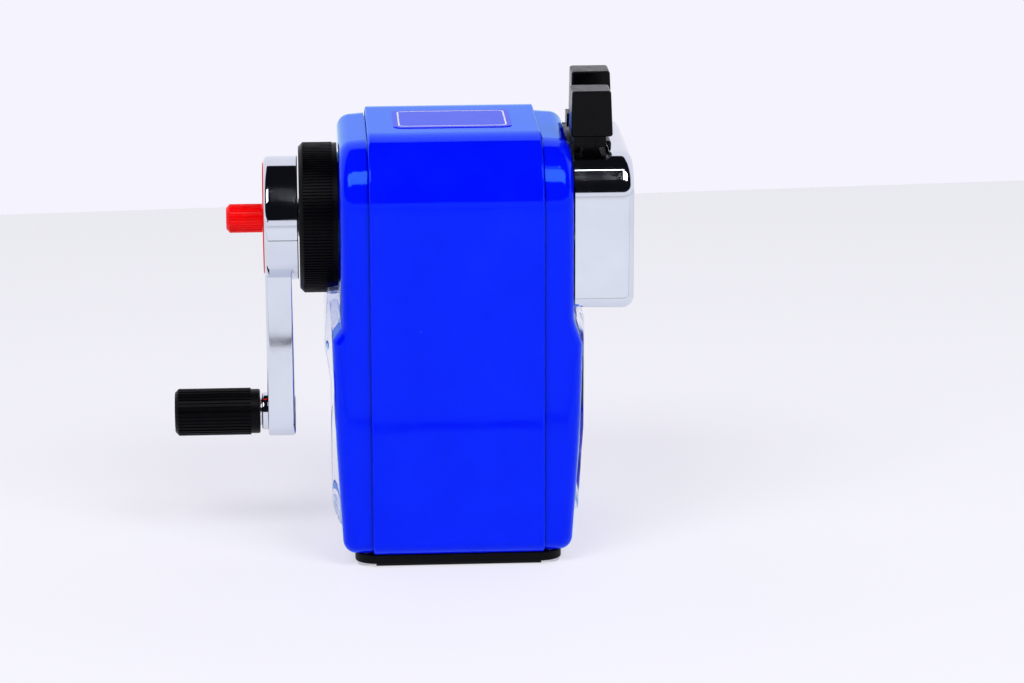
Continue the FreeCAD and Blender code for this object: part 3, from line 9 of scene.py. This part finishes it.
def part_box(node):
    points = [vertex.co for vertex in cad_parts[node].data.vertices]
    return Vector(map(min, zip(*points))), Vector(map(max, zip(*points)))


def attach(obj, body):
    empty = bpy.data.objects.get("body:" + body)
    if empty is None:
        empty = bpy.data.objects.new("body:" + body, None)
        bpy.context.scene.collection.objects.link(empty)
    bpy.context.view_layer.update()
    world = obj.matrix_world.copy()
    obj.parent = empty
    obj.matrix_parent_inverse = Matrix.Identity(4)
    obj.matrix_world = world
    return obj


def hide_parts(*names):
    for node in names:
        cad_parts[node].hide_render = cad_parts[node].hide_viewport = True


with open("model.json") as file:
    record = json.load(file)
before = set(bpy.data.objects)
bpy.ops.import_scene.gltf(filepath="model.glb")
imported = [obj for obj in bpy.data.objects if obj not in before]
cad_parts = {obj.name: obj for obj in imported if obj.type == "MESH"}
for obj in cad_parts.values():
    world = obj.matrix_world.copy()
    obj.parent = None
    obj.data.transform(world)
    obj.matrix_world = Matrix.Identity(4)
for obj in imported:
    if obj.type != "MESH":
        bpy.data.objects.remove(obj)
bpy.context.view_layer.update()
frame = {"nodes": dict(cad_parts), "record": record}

MM = 0.001


# ---------------------------------------------------------------- frame

def top_corner(node):
    """Highest corner of a CAD node's box, in millimetres."""
    return tuple(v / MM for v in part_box(node)[1])


def mount_height(name):
    """Height of a mount of the record, in millimetres."""
    for mount in frame["record"]["mounts"]:
        if mount["name"] == name:
            return mount["pos_m"][2] / MM
    raise ValueError(name)


AXIS_Z = mount_height("pencil_entry")
label_high = top_corner("top_label")
pane_high = top_corner("rear_window")


# ---------------------------------------------------------------- mesh helpers

def add_piece(name, bm, material, body, nodes=(), smooth_angle=35.0):
    """Turns a bmesh in millimetres into a piece that rides a body and stands for CAD nodes."""
    bmesh.ops.recalc_face_normals(bm, faces=bm.faces[:])
    for face in bm.faces:
        face.smooth = True
    for edge in bm.edges:
        if len(edge.link_faces) == 2 and edge.calc_face_angle(0.0) > math.radians(smooth_angle):
            edge.smooth = False
    mesh = bpy.data.meshes.new(name)
    bm.to_mesh(mesh)
    bm.free()
    mesh.transform(Matrix.Scale(MM, 4))
    piece = bpy.data.objects.new(name, mesh)
    bpy.context.scene.collection.objects.link(piece)
    mesh.materials.append(material)
    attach(piece, body)
    if nodes:
        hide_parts(*nodes)
    return piece


def rounded_path(corners, steps=8):
    """Closed 2-D path through corners (u, v, radius), each rounded by an arc of short steps."""
    points = []
    count = len(corners)
    for i, (u, v, radius) in enumerate(corners):
        corner = Vector((u, v))
        back = (Vector(corners[i - 1][:2]) - corner).normalized()
        ahead = (Vector(corners[(i + 1) % count][:2]) - corner).normalized()
        turn = math.pi - back.angle(ahead)
        if radius <= 0 or turn < 1e-4:
            points.append(corner)
            continue
        centre = corner + (back + ahead).normalized() * (radius / math.cos(turn / 2))
        start = corner + back * (radius * math.tan(turn / 2)) - centre
        cross = back.x * ahead.y - back.y * ahead.x
        sign = -1.0 if cross > 0 else 1.0
        for k in range(steps + 1):
            angle = sign * turn * k / steps
            points.append(centre + Matrix.Rotation(angle, 2) @ start)
    return points


def grid_faces(bm, rows, close_rows=False, close_columns=True):
    """Quads between rows of vertices."""
    count = len(rows)
    width = len(rows[0])
    for i in range(count if close_rows else count - 1):
        a = rows[i]
        b = rows[(i + 1) % count]
        for j in range(width if close_columns else width - 1):
            k = (j + 1) % width
            bm.faces.new((a[j], a[k], b[k], b[j]))


# ---------------------------------------------------------------- stage and light

SOFTBOX_ELEVATION = 57
SOFTBOX_WIDTH = 0.80
SOFTBOX_HEIGHT = 0.46
SOFTBOX_WATTS = 7.5
SOFTBOX_INNER_EDGES = (("softbox_right", -0.165), ("softbox_left", 0.110))
CAMERA_PLACE = (-0.96487, 0.03945, AXIS_Z * MM + 0.23298)
CAMERA_TARGET = (0.0, -0.015891, AXIS_Z * MM - 0.035122)
CAMERA_ROLL = math.radians(-0.132)
CAMERA_LENS = 131.54
SENSOR_WIDTH = 36.0
NEAR_CLIP = 0.01
LAMP_AIM = 0.06
TABLE_BACK = 0.385
TABLE_BACK_SKEW = 0.078
TABLE_FRONT = -0.160
TABLE_GAP = 0.010
TABLE_HALF_LENGTH = 3.0
FRONT_TABLE_REACH = 4.0
GAP_DEPTH = 0.001
# painted shade: colour of the sheet that stands for the shade in the table's gap
GAP_SHADE_COLOUR = (0.02, 0.02, 0.03)
PALE = (0.915, 0.900, 0.985)
TABLE_COLOUR = (0.955, 0.950, 1.0)
TABLE_GLOW = 0.6
BACKDROP_SPAN = (-0.15, 0.45)      # direction along X over which the dark part of the studio rises
BACKDROP_RISE = (0.15, 0.80)
BACKDROP_EDGE = 0.012
CEILING_COLOUR = (0.006, 0.006, 0.009)
LAMP_COLOUR = (0.97, 0.97, 1.0)
SOFTBOX_DISTANCE = 1.1
STRIP_ELEVATION = 73
STRIP_DISTANCE = 1.2
STRIP_WIDTH = 0.25
STRIP_HEIGHT = 0.018
STRIP_WATTS = 0.25
STRIP_Y = -0.235


def add_camera():
    camera = bpy.data.objects.new("camera", bpy.data.cameras.new("camera"))
    bpy.context.scene.collection.objects.link(camera)
    place = Vector(CAMERA_PLACE)
    look = (Vector(CAMERA_TARGET) - place).to_track_quat("-Z", "Y").to_matrix().to_4x4()
    camera.matrix_world = Matrix.Translation(place) @ look @ Matrix.Rotation(CAMERA_ROLL, 4, "Z")
    camera.data.lens = CAMERA_LENS
    camera.data.sensor_width = SENSOR_WIDTH
    camera.data.clip_start = NEAR_CLIP
    bpy.context.scene.camera = camera


def stage_sheet(name, corners, material):
    """Flat sheet that belongs to the stage and not to the object."""
    mesh = bpy.data.meshes.new(name)
    mesh.from_pydata(corners, [], [tuple(range(len(corners)))])
    sheet = bpy.data.objects.new(name, mesh)
    bpy.context.scene.collection.objects.link(sheet)
    mesh.materials.append(material)
    return sheet


def new_material(name):
    """Empty node material, with its nodes and links."""
    material = bpy.data.materials.new(name)
    material.use_nodes = True
    nodes = material.node_tree.nodes
    nodes.clear()
    return material, nodes, material.node_tree.links


def seen_share(nodes, links, share):
    """A share for rays that end in the camera, a mirror or clear plastic, and none for others."""
    path = nodes.new("ShaderNodeLightPath")
    most = path.outputs["Is Camera Ray"]
    for kind in ("Is Glossy Ray", "Is Transmission Ray"):
        larger = nodes.new("ShaderNodeMath")
        larger.operation = "MAXIMUM"
        links.new(most, larger.inputs[0])
        links.new(path.outputs[kind], larger.inputs[1])
        most = larger.outputs[0]
    scaled = nodes.new("ShaderNodeMath")
    scaled.operation = "MULTIPLY"
    scaled.inputs[1].default_value = share
    links.new(most, scaled.inputs[0])
    return scaled.outputs[0]


def table_material():
    """Pale matt table that shows a steady tone to the camera and in mirrors."""
    material, nodes, links = new_material("table")
    shader = nodes.new("ShaderNodeBsdfDiffuse")
    shader.inputs["Color"].default_value = (*TABLE_COLOUR, 1)
    glow = nodes.new("ShaderNodeEmission")
    glow.inputs["Color"].default_value = (*TABLE_COLOUR, 1)
    blend = nodes.new("ShaderNodeMixShader")
    links.new(seen_share(nodes, links, TABLE_GLOW), blend.inputs[0])
    links.new(shader.outputs[0], blend.inputs[1])
    links.new(glow.outputs[0], blend.inputs[2])
    out = nodes.new("ShaderNodeOutputMaterial")
    links.new(blend.outputs[0], out.inputs["Surface"])
    return material


def gap_shade_material():
    """Dark sheet that paints the shade inside the gap of the table."""
    material, nodes, links = new_material("table_gap_painted_shade")
    shader = nodes.new("ShaderNodeBsdfDiffuse")
    shader.inputs["Color"].default_value = (*GAP_SHADE_COLOUR, 1)
    out = nodes.new("ShaderNodeOutputMaterial")
    links.new(shader.outputs[0], out.inputs["Surface"])
    return material


def add_table():
    """Two pale sheets with a thin gap between them, painted dark as shade by a dark sheet below,
    which the shell and the arm reflect.
    """
    far = TABLE_HALF_LENGTH
    skew = TABLE_BACK_SKEW * far
    table = table_material()
    stage_sheet("table", [(TABLE_FRONT, -far, 0), (TABLE_BACK + skew, -far, 0),
                          (TABLE_BACK - skew, far, 0), (TABLE_FRONT, far, 0)], table)
    front = TABLE_FRONT - TABLE_GAP
    near = -FRONT_TABLE_REACH
    stage_sheet("table_front", [(near, -far, 0), (front, -far, 0),
                                (front, far, 0), (near, far, 0)], table)
    low = -GAP_DEPTH
    gap = stage_sheet("table_gap", [(front, -far, low), (TABLE_FRONT, -far, low),
                                    (TABLE_FRONT, far, low), (front, far, low)], gap_shade_material())
    gap.visible_shadow = False


def add_world():
    """Pale surroundings low down, dark above: a studio with a white sweep and a dark ceiling."""
    world = bpy.data.worlds.new("studio")
    bpy.context.scene.world = world
    world.use_nodes = True
    nodes = world.node_tree.nodes
    links = world.node_tree.links
    nodes.clear()
    place = nodes.new("ShaderNodeTexCoord")
    split = nodes.new("ShaderNodeSeparateXYZ")
    links.new(place.outputs["Generated"], split.inputs[0])
    behind = nodes.new("ShaderNodeMapRange")
    behind.interpolation_type = "SMOOTHSTEP"
    behind.inputs["From Min"].default_value = BACKDROP_SPAN[0]
    behind.inputs["From Max"].default_value = BACKDROP_SPAN[1]
    behind.inputs["To Min"].default_value = BACKDROP_RISE[0]
    behind.inputs["To Max"].default_value = BACKDROP_RISE[1]
    links.new(split.outputs["X"], behind.inputs["Value"])
    height = nodes.new("ShaderNodeMath")
    height.operation = "SUBTRACT"
    links.new(split.outputs["Z"], height.inputs[0])
    links.new(behind.outputs["Result"], height.inputs[1])
    edge = nodes.new("ShaderNodeMapRange")
    edge.inputs["From Min"].default_value = -BACKDROP_EDGE
    edge.inputs["From Max"].default_value = BACKDROP_EDGE
    links.new(height.outputs[0], edge.inputs["Value"])
    mix = nodes.new("ShaderNodeMix")
    mix.data_type = "RGBA"
    mix.inputs["A"].default_value = (*PALE, 1)
    mix.inputs["B"].default_value = (*CEILING_COLOUR, 1)
    links.new(edge.outputs["Result"], mix.inputs["Factor"])
    studio = nodes.new("ShaderNodeBackground")
    links.new(mix.outputs["Result"], studio.inputs["Color"])
    plain = nodes.new("ShaderNodeBackground")
    plain.inputs["Color"].default_value = (*PALE, 1)
    ray = nodes.new("ShaderNodeLightPath")
    seen = nodes.new("ShaderNodeMath")
    seen.operation = "MAXIMUM"
    links.new(ray.outputs["Is Camera Ray"], seen.inputs[0])
    links.new(ray.outputs["Is Transmission Ray"], seen.inputs[1])
    choose = nodes.new("ShaderNodeMixShader")
    links.new(seen.outputs[0], choose.inputs[0])
    links.new(studio.outputs[0], choose.inputs[1])
    links.new(plain.outputs[0], choose.inputs[2])
    out = nodes.new("ShaderNodeOutputWorld")
    links.new(choose.outputs[0], out.inputs["Surface"])


def add_softbox(name, elevation, distance, width, height, watts, y):
    """Rectangular lamp on the camera's side, level along Y, that leans towards the object."""
    lamp = bpy.data.lights.new(name, "AREA")
    lamp.shape = "RECTANGLE"
    lamp.size = width
    lamp.size_y = height
    lamp.energy = watts
    lamp.color = LAMP_COLOUR
    box = bpy.data.objects.new(name, lamp)
    bpy.context.scene.collection.objects.link(box)
    e = math.radians(elevation)
    toward = Vector((-math.cos(e), 0, math.sin(e)))
    box.matrix_world = (Matrix.Translation(Vector((0, y, LAMP_AIM)) + toward * distance)
                        @ toward.to_track_quat("Z", "Y").to_matrix().to_4x4())


def add_lights():
    """Two level softboxes with a gap between them, and a narrow strip for the plated edges."""
    for name, edge in SOFTBOX_INNER_EDGES:
        middle = edge + math.copysign(SOFTBOX_WIDTH / 2, edge)
        add_softbox(name, SOFTBOX_ELEVATION, SOFTBOX_DISTANCE, SOFTBOX_WIDTH, SOFTBOX_HEIGHT,
                    SOFTBOX_WATTS, middle)
    add_softbox("strip_lamp", STRIP_ELEVATION, STRIP_DISTANCE, STRIP_WIDTH, STRIP_HEIGHT,
                STRIP_WATTS, STRIP_Y)


# ---------------------------------------------------------------- materials

GLAZE_IOR = 1.05
CLEAR_IOR = 1.02
CLEAR_SHEEN = 0.8
CLEAR_SHEEN_IOR = 1.5
# painted shade: heights over which the clear plastic's colour darkens towards the top of the rear
# window
PAINTED_SHADE_HEIGHTS = (pane_high[2] * MM - 0.017, pane_high[2] * MM - 0.007)
BLUE_GLAZE = (0.64, 0.91, 1.0)
LABEL_GLAZE = (0.68, 0.78, 1.0)
BLUE = (0.001, 0.007, 0.93)
BLUE_RANGE = ((0.0004, 0.005, 0.95), (0.0012, 0.008, 1.0))
BLUE_SPECULAR = 0.45
BLUE_SPECULAR_TINT = (0.16, 0.55, 1.0)
METAL_GRAIN_DEPTH = 0.00003


def principled(name, colour, roughness, metallic=0.0, specular=0.5, glaze=None):
    """A surface with its plain values set on the shader's own sockets; a glaze tints its sheen."""
    material, nodes, links = new_material(name)
    shader = nodes.new("ShaderNodeBsdfPrincipled")
    shader.inputs["Base Color"].default_value = (*colour, 1)
    shader.inputs["Roughness"].default_value = roughness
    shader.inputs["Metallic"].default_value = metallic
    shader.inputs["Specular IOR Level"].default_value = specular
    if glaze:
        shader.inputs["Coat Weight"].default_value = 1.0
        shader.inputs["Coat IOR"].default_value = GLAZE_IOR
        shader.inputs["Coat Tint"].default_value = (*glaze, 1)
    out = nodes.new("ShaderNodeOutputMaterial")
    links.new(shader.outputs[0], out.inputs["Surface"])
    return material, shader, nodes, links


def noise(nodes, links, scale, detail=3.0, stretch=(1, 1, 1), roughness=0.5):
    """Noise in object space; the frame is in metres, so scale is features per metre."""
    place = nodes.new("ShaderNodeTexCoord")
    mapping = nodes.new("ShaderNodeMapping")
    mapping.inputs["Scale"].default_value = stretch
    links.new(place.outputs["Object"], mapping.inputs["Vector"])
    texture = nodes.new("ShaderNodeTexNoise")
    texture.inputs["Scale"].default_value = scale
    texture.inputs["Detail"].default_value = detail
    texture.inputs["Roughness"].default_value = roughness
    links.new(mapping.outputs[0], texture.inputs["Vector"])
    return texture.outputs["Fac"]


def spread(nodes, links, value, low, high, start=0.3, end=0.7):
    """Maps a noise value to a range."""
    remap = nodes.new("ShaderNodeMapRange")
    remap.inputs["From Min"].default_value = start
    remap.inputs["From Max"].default_value = end
    remap.inputs["To Min"].default_value = low
    remap.inputs["To Max"].default_value = high
    links.new(value, remap.inputs["Value"])
    return remap.outputs["Result"]


def tinted(nodes, links, value, colour_a, colour_b, start=0.3, end=0.7):
    """Mixes two colours by a noise value."""
    mix = nodes.new("ShaderNodeMix")
    mix.data_type = "RGBA"
    mix.inputs["A"].default_value = (*colour_a, 1)
    mix.inputs["B"].default_value = (*colour_b, 1)
    links.new(spread(nodes, links, value, 0.0, 1.0, start, end), mix.inputs["Factor"])
    return mix.outputs["Result"]


def roughen(nodes, links, shader, heights):
    """Adds fine relief from (height value, strength, depth in metres) triples."""
    previous = None
    for value, strength, depth in heights:
        bump = nodes.new("ShaderNodeBump")
        bump.inputs["Strength"].default_value = strength
        bump.inputs["Distance"].default_value = depth
        links.new(value, bump.inputs["Height"])
        if previous:
            links.new(previous, bump.inputs["Normal"])
        previous = bump.outputs[0]
    links.new(previous, shader.inputs["Normal"])


def speckle(nodes, links, scale, size, colour_socket, fleck):
    """Sparse small flecks, such as dust and nicks, mixed over a colour."""
    place = nodes.new("ShaderNodeTexCoord")
    cells = nodes.new("ShaderNodeTexVoronoi")
    cells.inputs["Scale"].default_value = scale
    links.new(place.outputs["Object"], cells.inputs["Vector"])
    dot = nodes.new("ShaderNodeMath")
    dot.operation = "LESS_THAN"
    dot.inputs[1].default_value = size
    links.new(cells.outputs["Distance"], dot.inputs[0])
    mix = nodes.new("ShaderNodeMix")
    mix.data_type = "RGBA"
    mix.inputs["B"].default_value = (*fleck, 1)
    links.new(dot.outputs[0], mix.inputs["Factor"])
    links.new(colour_socket, mix.inputs["A"])
    return mix.outputs["Result"]


def enamel_material():
    """Stoved gloss enamel on sheet steel: slight orange peel and a few flecks of dust."""
    material, shader, nodes, links = principled("blue_enamel", BLUE, 0.06,
                                                specular=BLUE_SPECULAR, glaze=BLUE_GLAZE)
    shader.inputs["Specular Tint"].default_value = (*BLUE_SPECULAR_TINT, 1)
    body = tinted(nodes, links, noise(nodes, links, 60, 2), *BLUE_RANGE)
    links.new(speckle(nodes, links, 95, 0.022, body, (0.03, 0.08, 0.97)),
              shader.inputs["Base Color"])
    links.new(spread(nodes, links, noise(nodes, links, 240), 0.05, 0.09),
              shader.inputs["Roughness"])
    roughen(nodes, links, shader, [(noise(nodes, links, 22, 1), 0.25, 0.0006),
                                   (noise(nodes, links, 900, 2), 0.12, 0.00004)])
    return material


def gloss_blue_material():
    """Gloss moulded plastic in the same blue, with faint flow and sink marks."""
    material, shader, nodes, links = principled("blue_moulded", BLUE, 0.08,
                                                specular=BLUE_SPECULAR, glaze=BLUE_GLAZE)
    shader.inputs["Specular Tint"].default_value = (*BLUE_SPECULAR_TINT, 1)
    links.new(tinted(nodes, links, noise(nodes, links, 35, 2), *BLUE_RANGE),
              shader.inputs["Base Color"])
    links.new(spread(nodes, links, noise(nodes, links, 300), 0.06, 0.11),
              shader.inputs["Roughness"])
    roughen(nodes, links, shader, [(noise(nodes, links, 30, 1), 0.18, 0.0005)])
    return material


def chrome_material():
    """Bright plating on a moulding: slightly wavy, with handling haze and hairline scratches."""
    material, shader, nodes, links = principled("bright_plating", (0.70, 0.74, 0.81), 0.04,
                                                metallic=1.0)
    links.new(tinted(nodes, links, noise(nodes, links, 70, 4),
                     (0.68, 0.72, 0.79), (0.73, 0.77, 0.84)),
              shader.inputs["Base Color"])
    marks = noise(nodes, links, 110, 5, roughness=0.65)
    haze = spread(nodes, links, marks, 0.025, 0.10, 0.35, 0.75)
    links.new(haze, shader.inputs["Roughness"])
    scratches = noise(nodes, links, 500, 1, stretch=(1, 14, 1))
    roughen(nodes, links, shader, [(noise(nodes, links, 26, 1), 0.20, 0.0006),
                                   (scratches, 0.03, 0.00003)])
    return material


def moulded_black_material(name, roughness, specular, grain):
    """Black moulding with the fine grain of a spark-eroded tool."""
    material, shader, nodes, links = principled(name, (0.0015, 0.0016, 0.0022), roughness,
                                                specular=specular)
    links.new(tinted(nodes, links, noise(nodes, links, 90, 3),
                     (0.0010, 0.0011, 0.0016), (0.0022, 0.0023, 0.0030)),
              shader.inputs["Base Color"])
    links.new(spread(nodes, links, noise(nodes, links, 420, 2), roughness - 0.06, roughness + 0.08),
              shader.inputs["Roughness"])
    roughen(nodes, links, shader, [(noise(nodes, links, 2600, 2), grain, 0.00005)])
    return material


def red_material():
    """Bright red gloss moulding."""
    material, shader, nodes, links = principled("red_moulded", (0.98, 0.002, 0.003), 0.24,
                                                specular=0.2)
    links.new(tinted(nodes, links, noise(nodes, links, 150, 2),
                     (0.93, 0.0015, 0.002), (1.0, 0.003, 0.004)),
              shader.inputs["Base Color"])
    roughen(nodes, links, shader, [(noise(nodes, links, 1500, 2), 0.12, 0.00004)])
    return material


def clear_material(name, plain, painted_shade_top):
    """Clear styrene, a little scuffed; its colour darkens towards the top, a painted shade for the
    shade of the parts above that shows through it.
    """
    material, shader, nodes, links = principled(name, plain, 0.04, specular=0.5)
    shader.inputs["Transmission Weight"].default_value = 1.0
    shader.inputs["IOR"].default_value = CLEAR_IOR
    shader.inputs["Coat Weight"].default_value = CLEAR_SHEEN
    shader.inputs["Coat IOR"].default_value = CLEAR_SHEEN_IOR
    place = nodes.new("ShaderNodeTexCoord")
    split = nodes.new("ShaderNodeSeparateXYZ")
    links.new(place.outputs["Object"], split.inputs[0])
    # painted shade: the colour darkens from the plain tint to the shaded tint towards the top
    links.new(tinted(nodes, links, split.outputs["Z"], plain, painted_shade_top, *PAINTED_SHADE_HEIGHTS),
              shader.inputs["Base Color"])
    links.new(spread(nodes, links, noise(nodes, links, 160, 4), 0.03, 0.10),
              shader.inputs["Roughness"])
    roughen(nodes, links, shader, [(noise(nodes, links, 45, 1), 0.12, 0.0005)])
    return material


def rubber_material():
    """Dull black rubber of the pad and the jaws."""
    material, shader, nodes, links = principled("rubber", (0.010, 0.010, 0.011), 0.75, specular=0.3)
    links.new(tinted(nodes, links, noise(nodes, links, 500, 3),
                     (0.008, 0.008, 0.009), (0.014, 0.014, 0.015)),
              shader.inputs["Base Color"])
    roughen(nodes, links, shader, [(noise(nodes, links, 1800, 3), 0.35, 0.0001)])
    return material


def plain_plastic_material(name, dark, light, roughness):
    """Unpainted technical moulding with a soft mottle."""
    material, shader, nodes, links = principled(name, light, roughness)
    links.new(tinted(nodes, links, noise(nodes, links, 120, 3), dark, light),
              shader.inputs["Base Color"])
    roughen(nodes, links, shader, [(noise(nodes, links, 1200, 2), 0.15, 0.00005)])
    return material


def metal_material(name, dark, light, roughness, stretch):
    """Bare or plated metal with a directional finish; stretch squeezes the grain along its axes."""
    material, shader, nodes, links = principled(name, light, roughness, metallic=1.0)
    grain = noise(nodes, links, 700, 3, stretch=stretch)
    links.new(tinted(nodes, links, grain, dark, light), shader.inputs["Base Color"])
    links.new(spread(nodes, links, noise(nodes, links, 160, 4), roughness - 0.06, roughness + 0.10),
              shader.inputs["Roughness"])
    roughen(nodes, links, shader, [(grain, 0.25, METAL_GRAIN_DEPTH)])
    return material


def label_material():
    """Plain printed field in a violet blue."""
    material, shader, nodes, links = principled("label_print", (0.055, 0.050, 0.88), 0.18,
                                                specular=0.3, glaze=LABEL_GLAZE)
    links.new(tinted(nodes, links, noise(nodes, links, 200, 2),
                     (0.050, 0.045, 0.84), (0.060, 0.055, 0.92)),
              shader.inputs["Base Color"])
    return material


def pale_print_material():
    """Off-white print of the frame on the label."""
    return plain_plastic_material("label_frame_print", (0.78, 0.78, 0.86), (0.88, 0.88, 0.94), 0.35)


# ---------------------------------------------------------------- pieces

LABEL_FRAME_INSET = 1.3
LABEL_FRAME_LINE = 0.4
LABEL_FRAME_CORNER = 1.6
LABEL_FRAME_STAND = 0.03


def add_label_frame(material):
    """Thin pale printed line that follows the edge of the label, empty inside."""
    bm = bmesh.new()
    loops = []
    for inset in (LABEL_FRAME_INSET, LABEL_FRAME_INSET + LABEL_FRAME_LINE):
        x = label_high[0] - inset
        y = label_high[1] - inset
        radius = LABEL_FRAME_CORNER - (inset - LABEL_FRAME_INSET)
        path = rounded_path([(-x, -y, radius), (x, -y, radius), (x, y, radius), (-x, y, radius)], 5)
        for stand in (LABEL_FRAME_STAND, -LABEL_FRAME_STAND):
            loops.append([bm.verts.new((p.x, p.y, label_high[2] + stand)) for p in path])
    outer_top, outer_low, inner_top, inner_low = loops
    grid_faces(bm, [outer_low, outer_top, inner_top, inner_low], close_rows=True)
    add_piece("label_frame", bm, material, "casing")


# ---------------------------------------------------------------- finish of the carried-over nodes

CLEAR = (0.955, 0.960, 0.985)
# painted shade: tints that the clear plastic darkens to towards the top, slightly for the drawer
# and strongly for the rear window, where it stands for the ring cap's shade seen through the dome
CLEAR_PAINTED_SHADE_TOP = (0.93, 0.94, 0.985)
WINDOW_PAINTED_SHADE = (0.56, 0.63, 0.82)

# slot: (name, roughness, specular level, strength of the grain)
BLACKS = {
    "black_plastic": ("black_moulded", 0.20, 0.08, 0.06),
    "black_ribbed": ("black_satin", 0.36, 0.08, 0.12),
    "black_base": ("black_grained", 0.50, 0.10, 0.30),
}

# slot: (name, dark, light, roughness)
PLAIN_PLASTICS = {
    "grey_plastic": ("grey_moulded", (0.22, 0.23, 0.25), (0.27, 0.28, 0.30), 0.45),
    "gear_plastic": ("acetal", (0.70, 0.69, 0.65), (0.77, 0.76, 0.72), 0.4),
}

# slot: (name, dark, light, roughness, how much the grain is squeezed along each axis)
METALS = {
    "die_cast": ("zinc_die_cast", (0.48, 0.49, 0.51), (0.60, 0.61, 0.63), 0.42, (1, 1, 1)),
    "zinc_steel": ("zinc_plated", (0.52, 0.53, 0.54), (0.66, 0.67, 0.68), 0.30, (1, 1, 6)),
    "polished_steel": ("ground_steel", (0.62, 0.63, 0.65), (0.74, 0.75, 0.77), 0.16, (6, 0.4, 6)),
    "spring_steel": ("drawn_wire", (0.42, 0.43, 0.45), (0.56, 0.57, 0.59), 0.24, (1, 5, 5)),
    "tool_steel": ("tool_steel", (0.28, 0.29, 0.31), (0.42, 0.43, 0.45), 0.28, (5, 1, 5)),
    "bronze": ("sintered_bronze", (0.50, 0.31, 0.14), (0.64, 0.41, 0.20), 0.38, (1, 1, 1)),
}


def slot_materials():
    """Finish of each material slot."""
    finishes = {
        "blue_paint": enamel_material(),
        "blue_plastic": gloss_blue_material(),
        "chrome_plating": chrome_material(),
        "black_rubber": rubber_material(),
        "red_plastic": red_material(),
        "clear_plastic": clear_material("clear_styrene", CLEAR, CLEAR_PAINTED_SHADE_TOP),
        "label_film": label_material(),
    }
    for slot, values in BLACKS.items():
        finishes[slot] = moulded_black_material(*values)
    for slot, values in PLAIN_PLASTICS.items():
        finishes[slot] = plain_plastic_material(*values)
    for slot, values in METALS.items():
        finishes[slot] = metal_material(*values)
    return finishes


def node_materials():
    """Finish of the nodes that differ from the rest of their slot."""
    tabs = moulded_black_material("black_tabs", 0.22, 0.11, 0.08)
    # the rear window's darker top is painted shade
    window = clear_material("window_styrene_painted_shade", CLEAR, WINDOW_PAINTED_SHADE)
    return {"left_lever": tabs, "right_lever": tabs, "rear_window": window}


def finish_nodes(by_slot, by_node):
    """Gives every CAD node its finish."""
    slots = {part["node"]: part["material_slot"] for part in frame["record"]["subparts"]}
    for node, piece in frame["nodes"].items():
        piece.data.materials.clear()
        piece.data.materials.append(by_node.get(node, by_slot[slots[node]]))


finish_nodes(slot_materials(), node_materials())
add_label_frame(pale_print_material())
add_camera()
add_table()
add_world()
add_lights()

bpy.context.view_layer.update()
scene = bpy.context.scene
scene.view_settings.view_transform = "Standard"
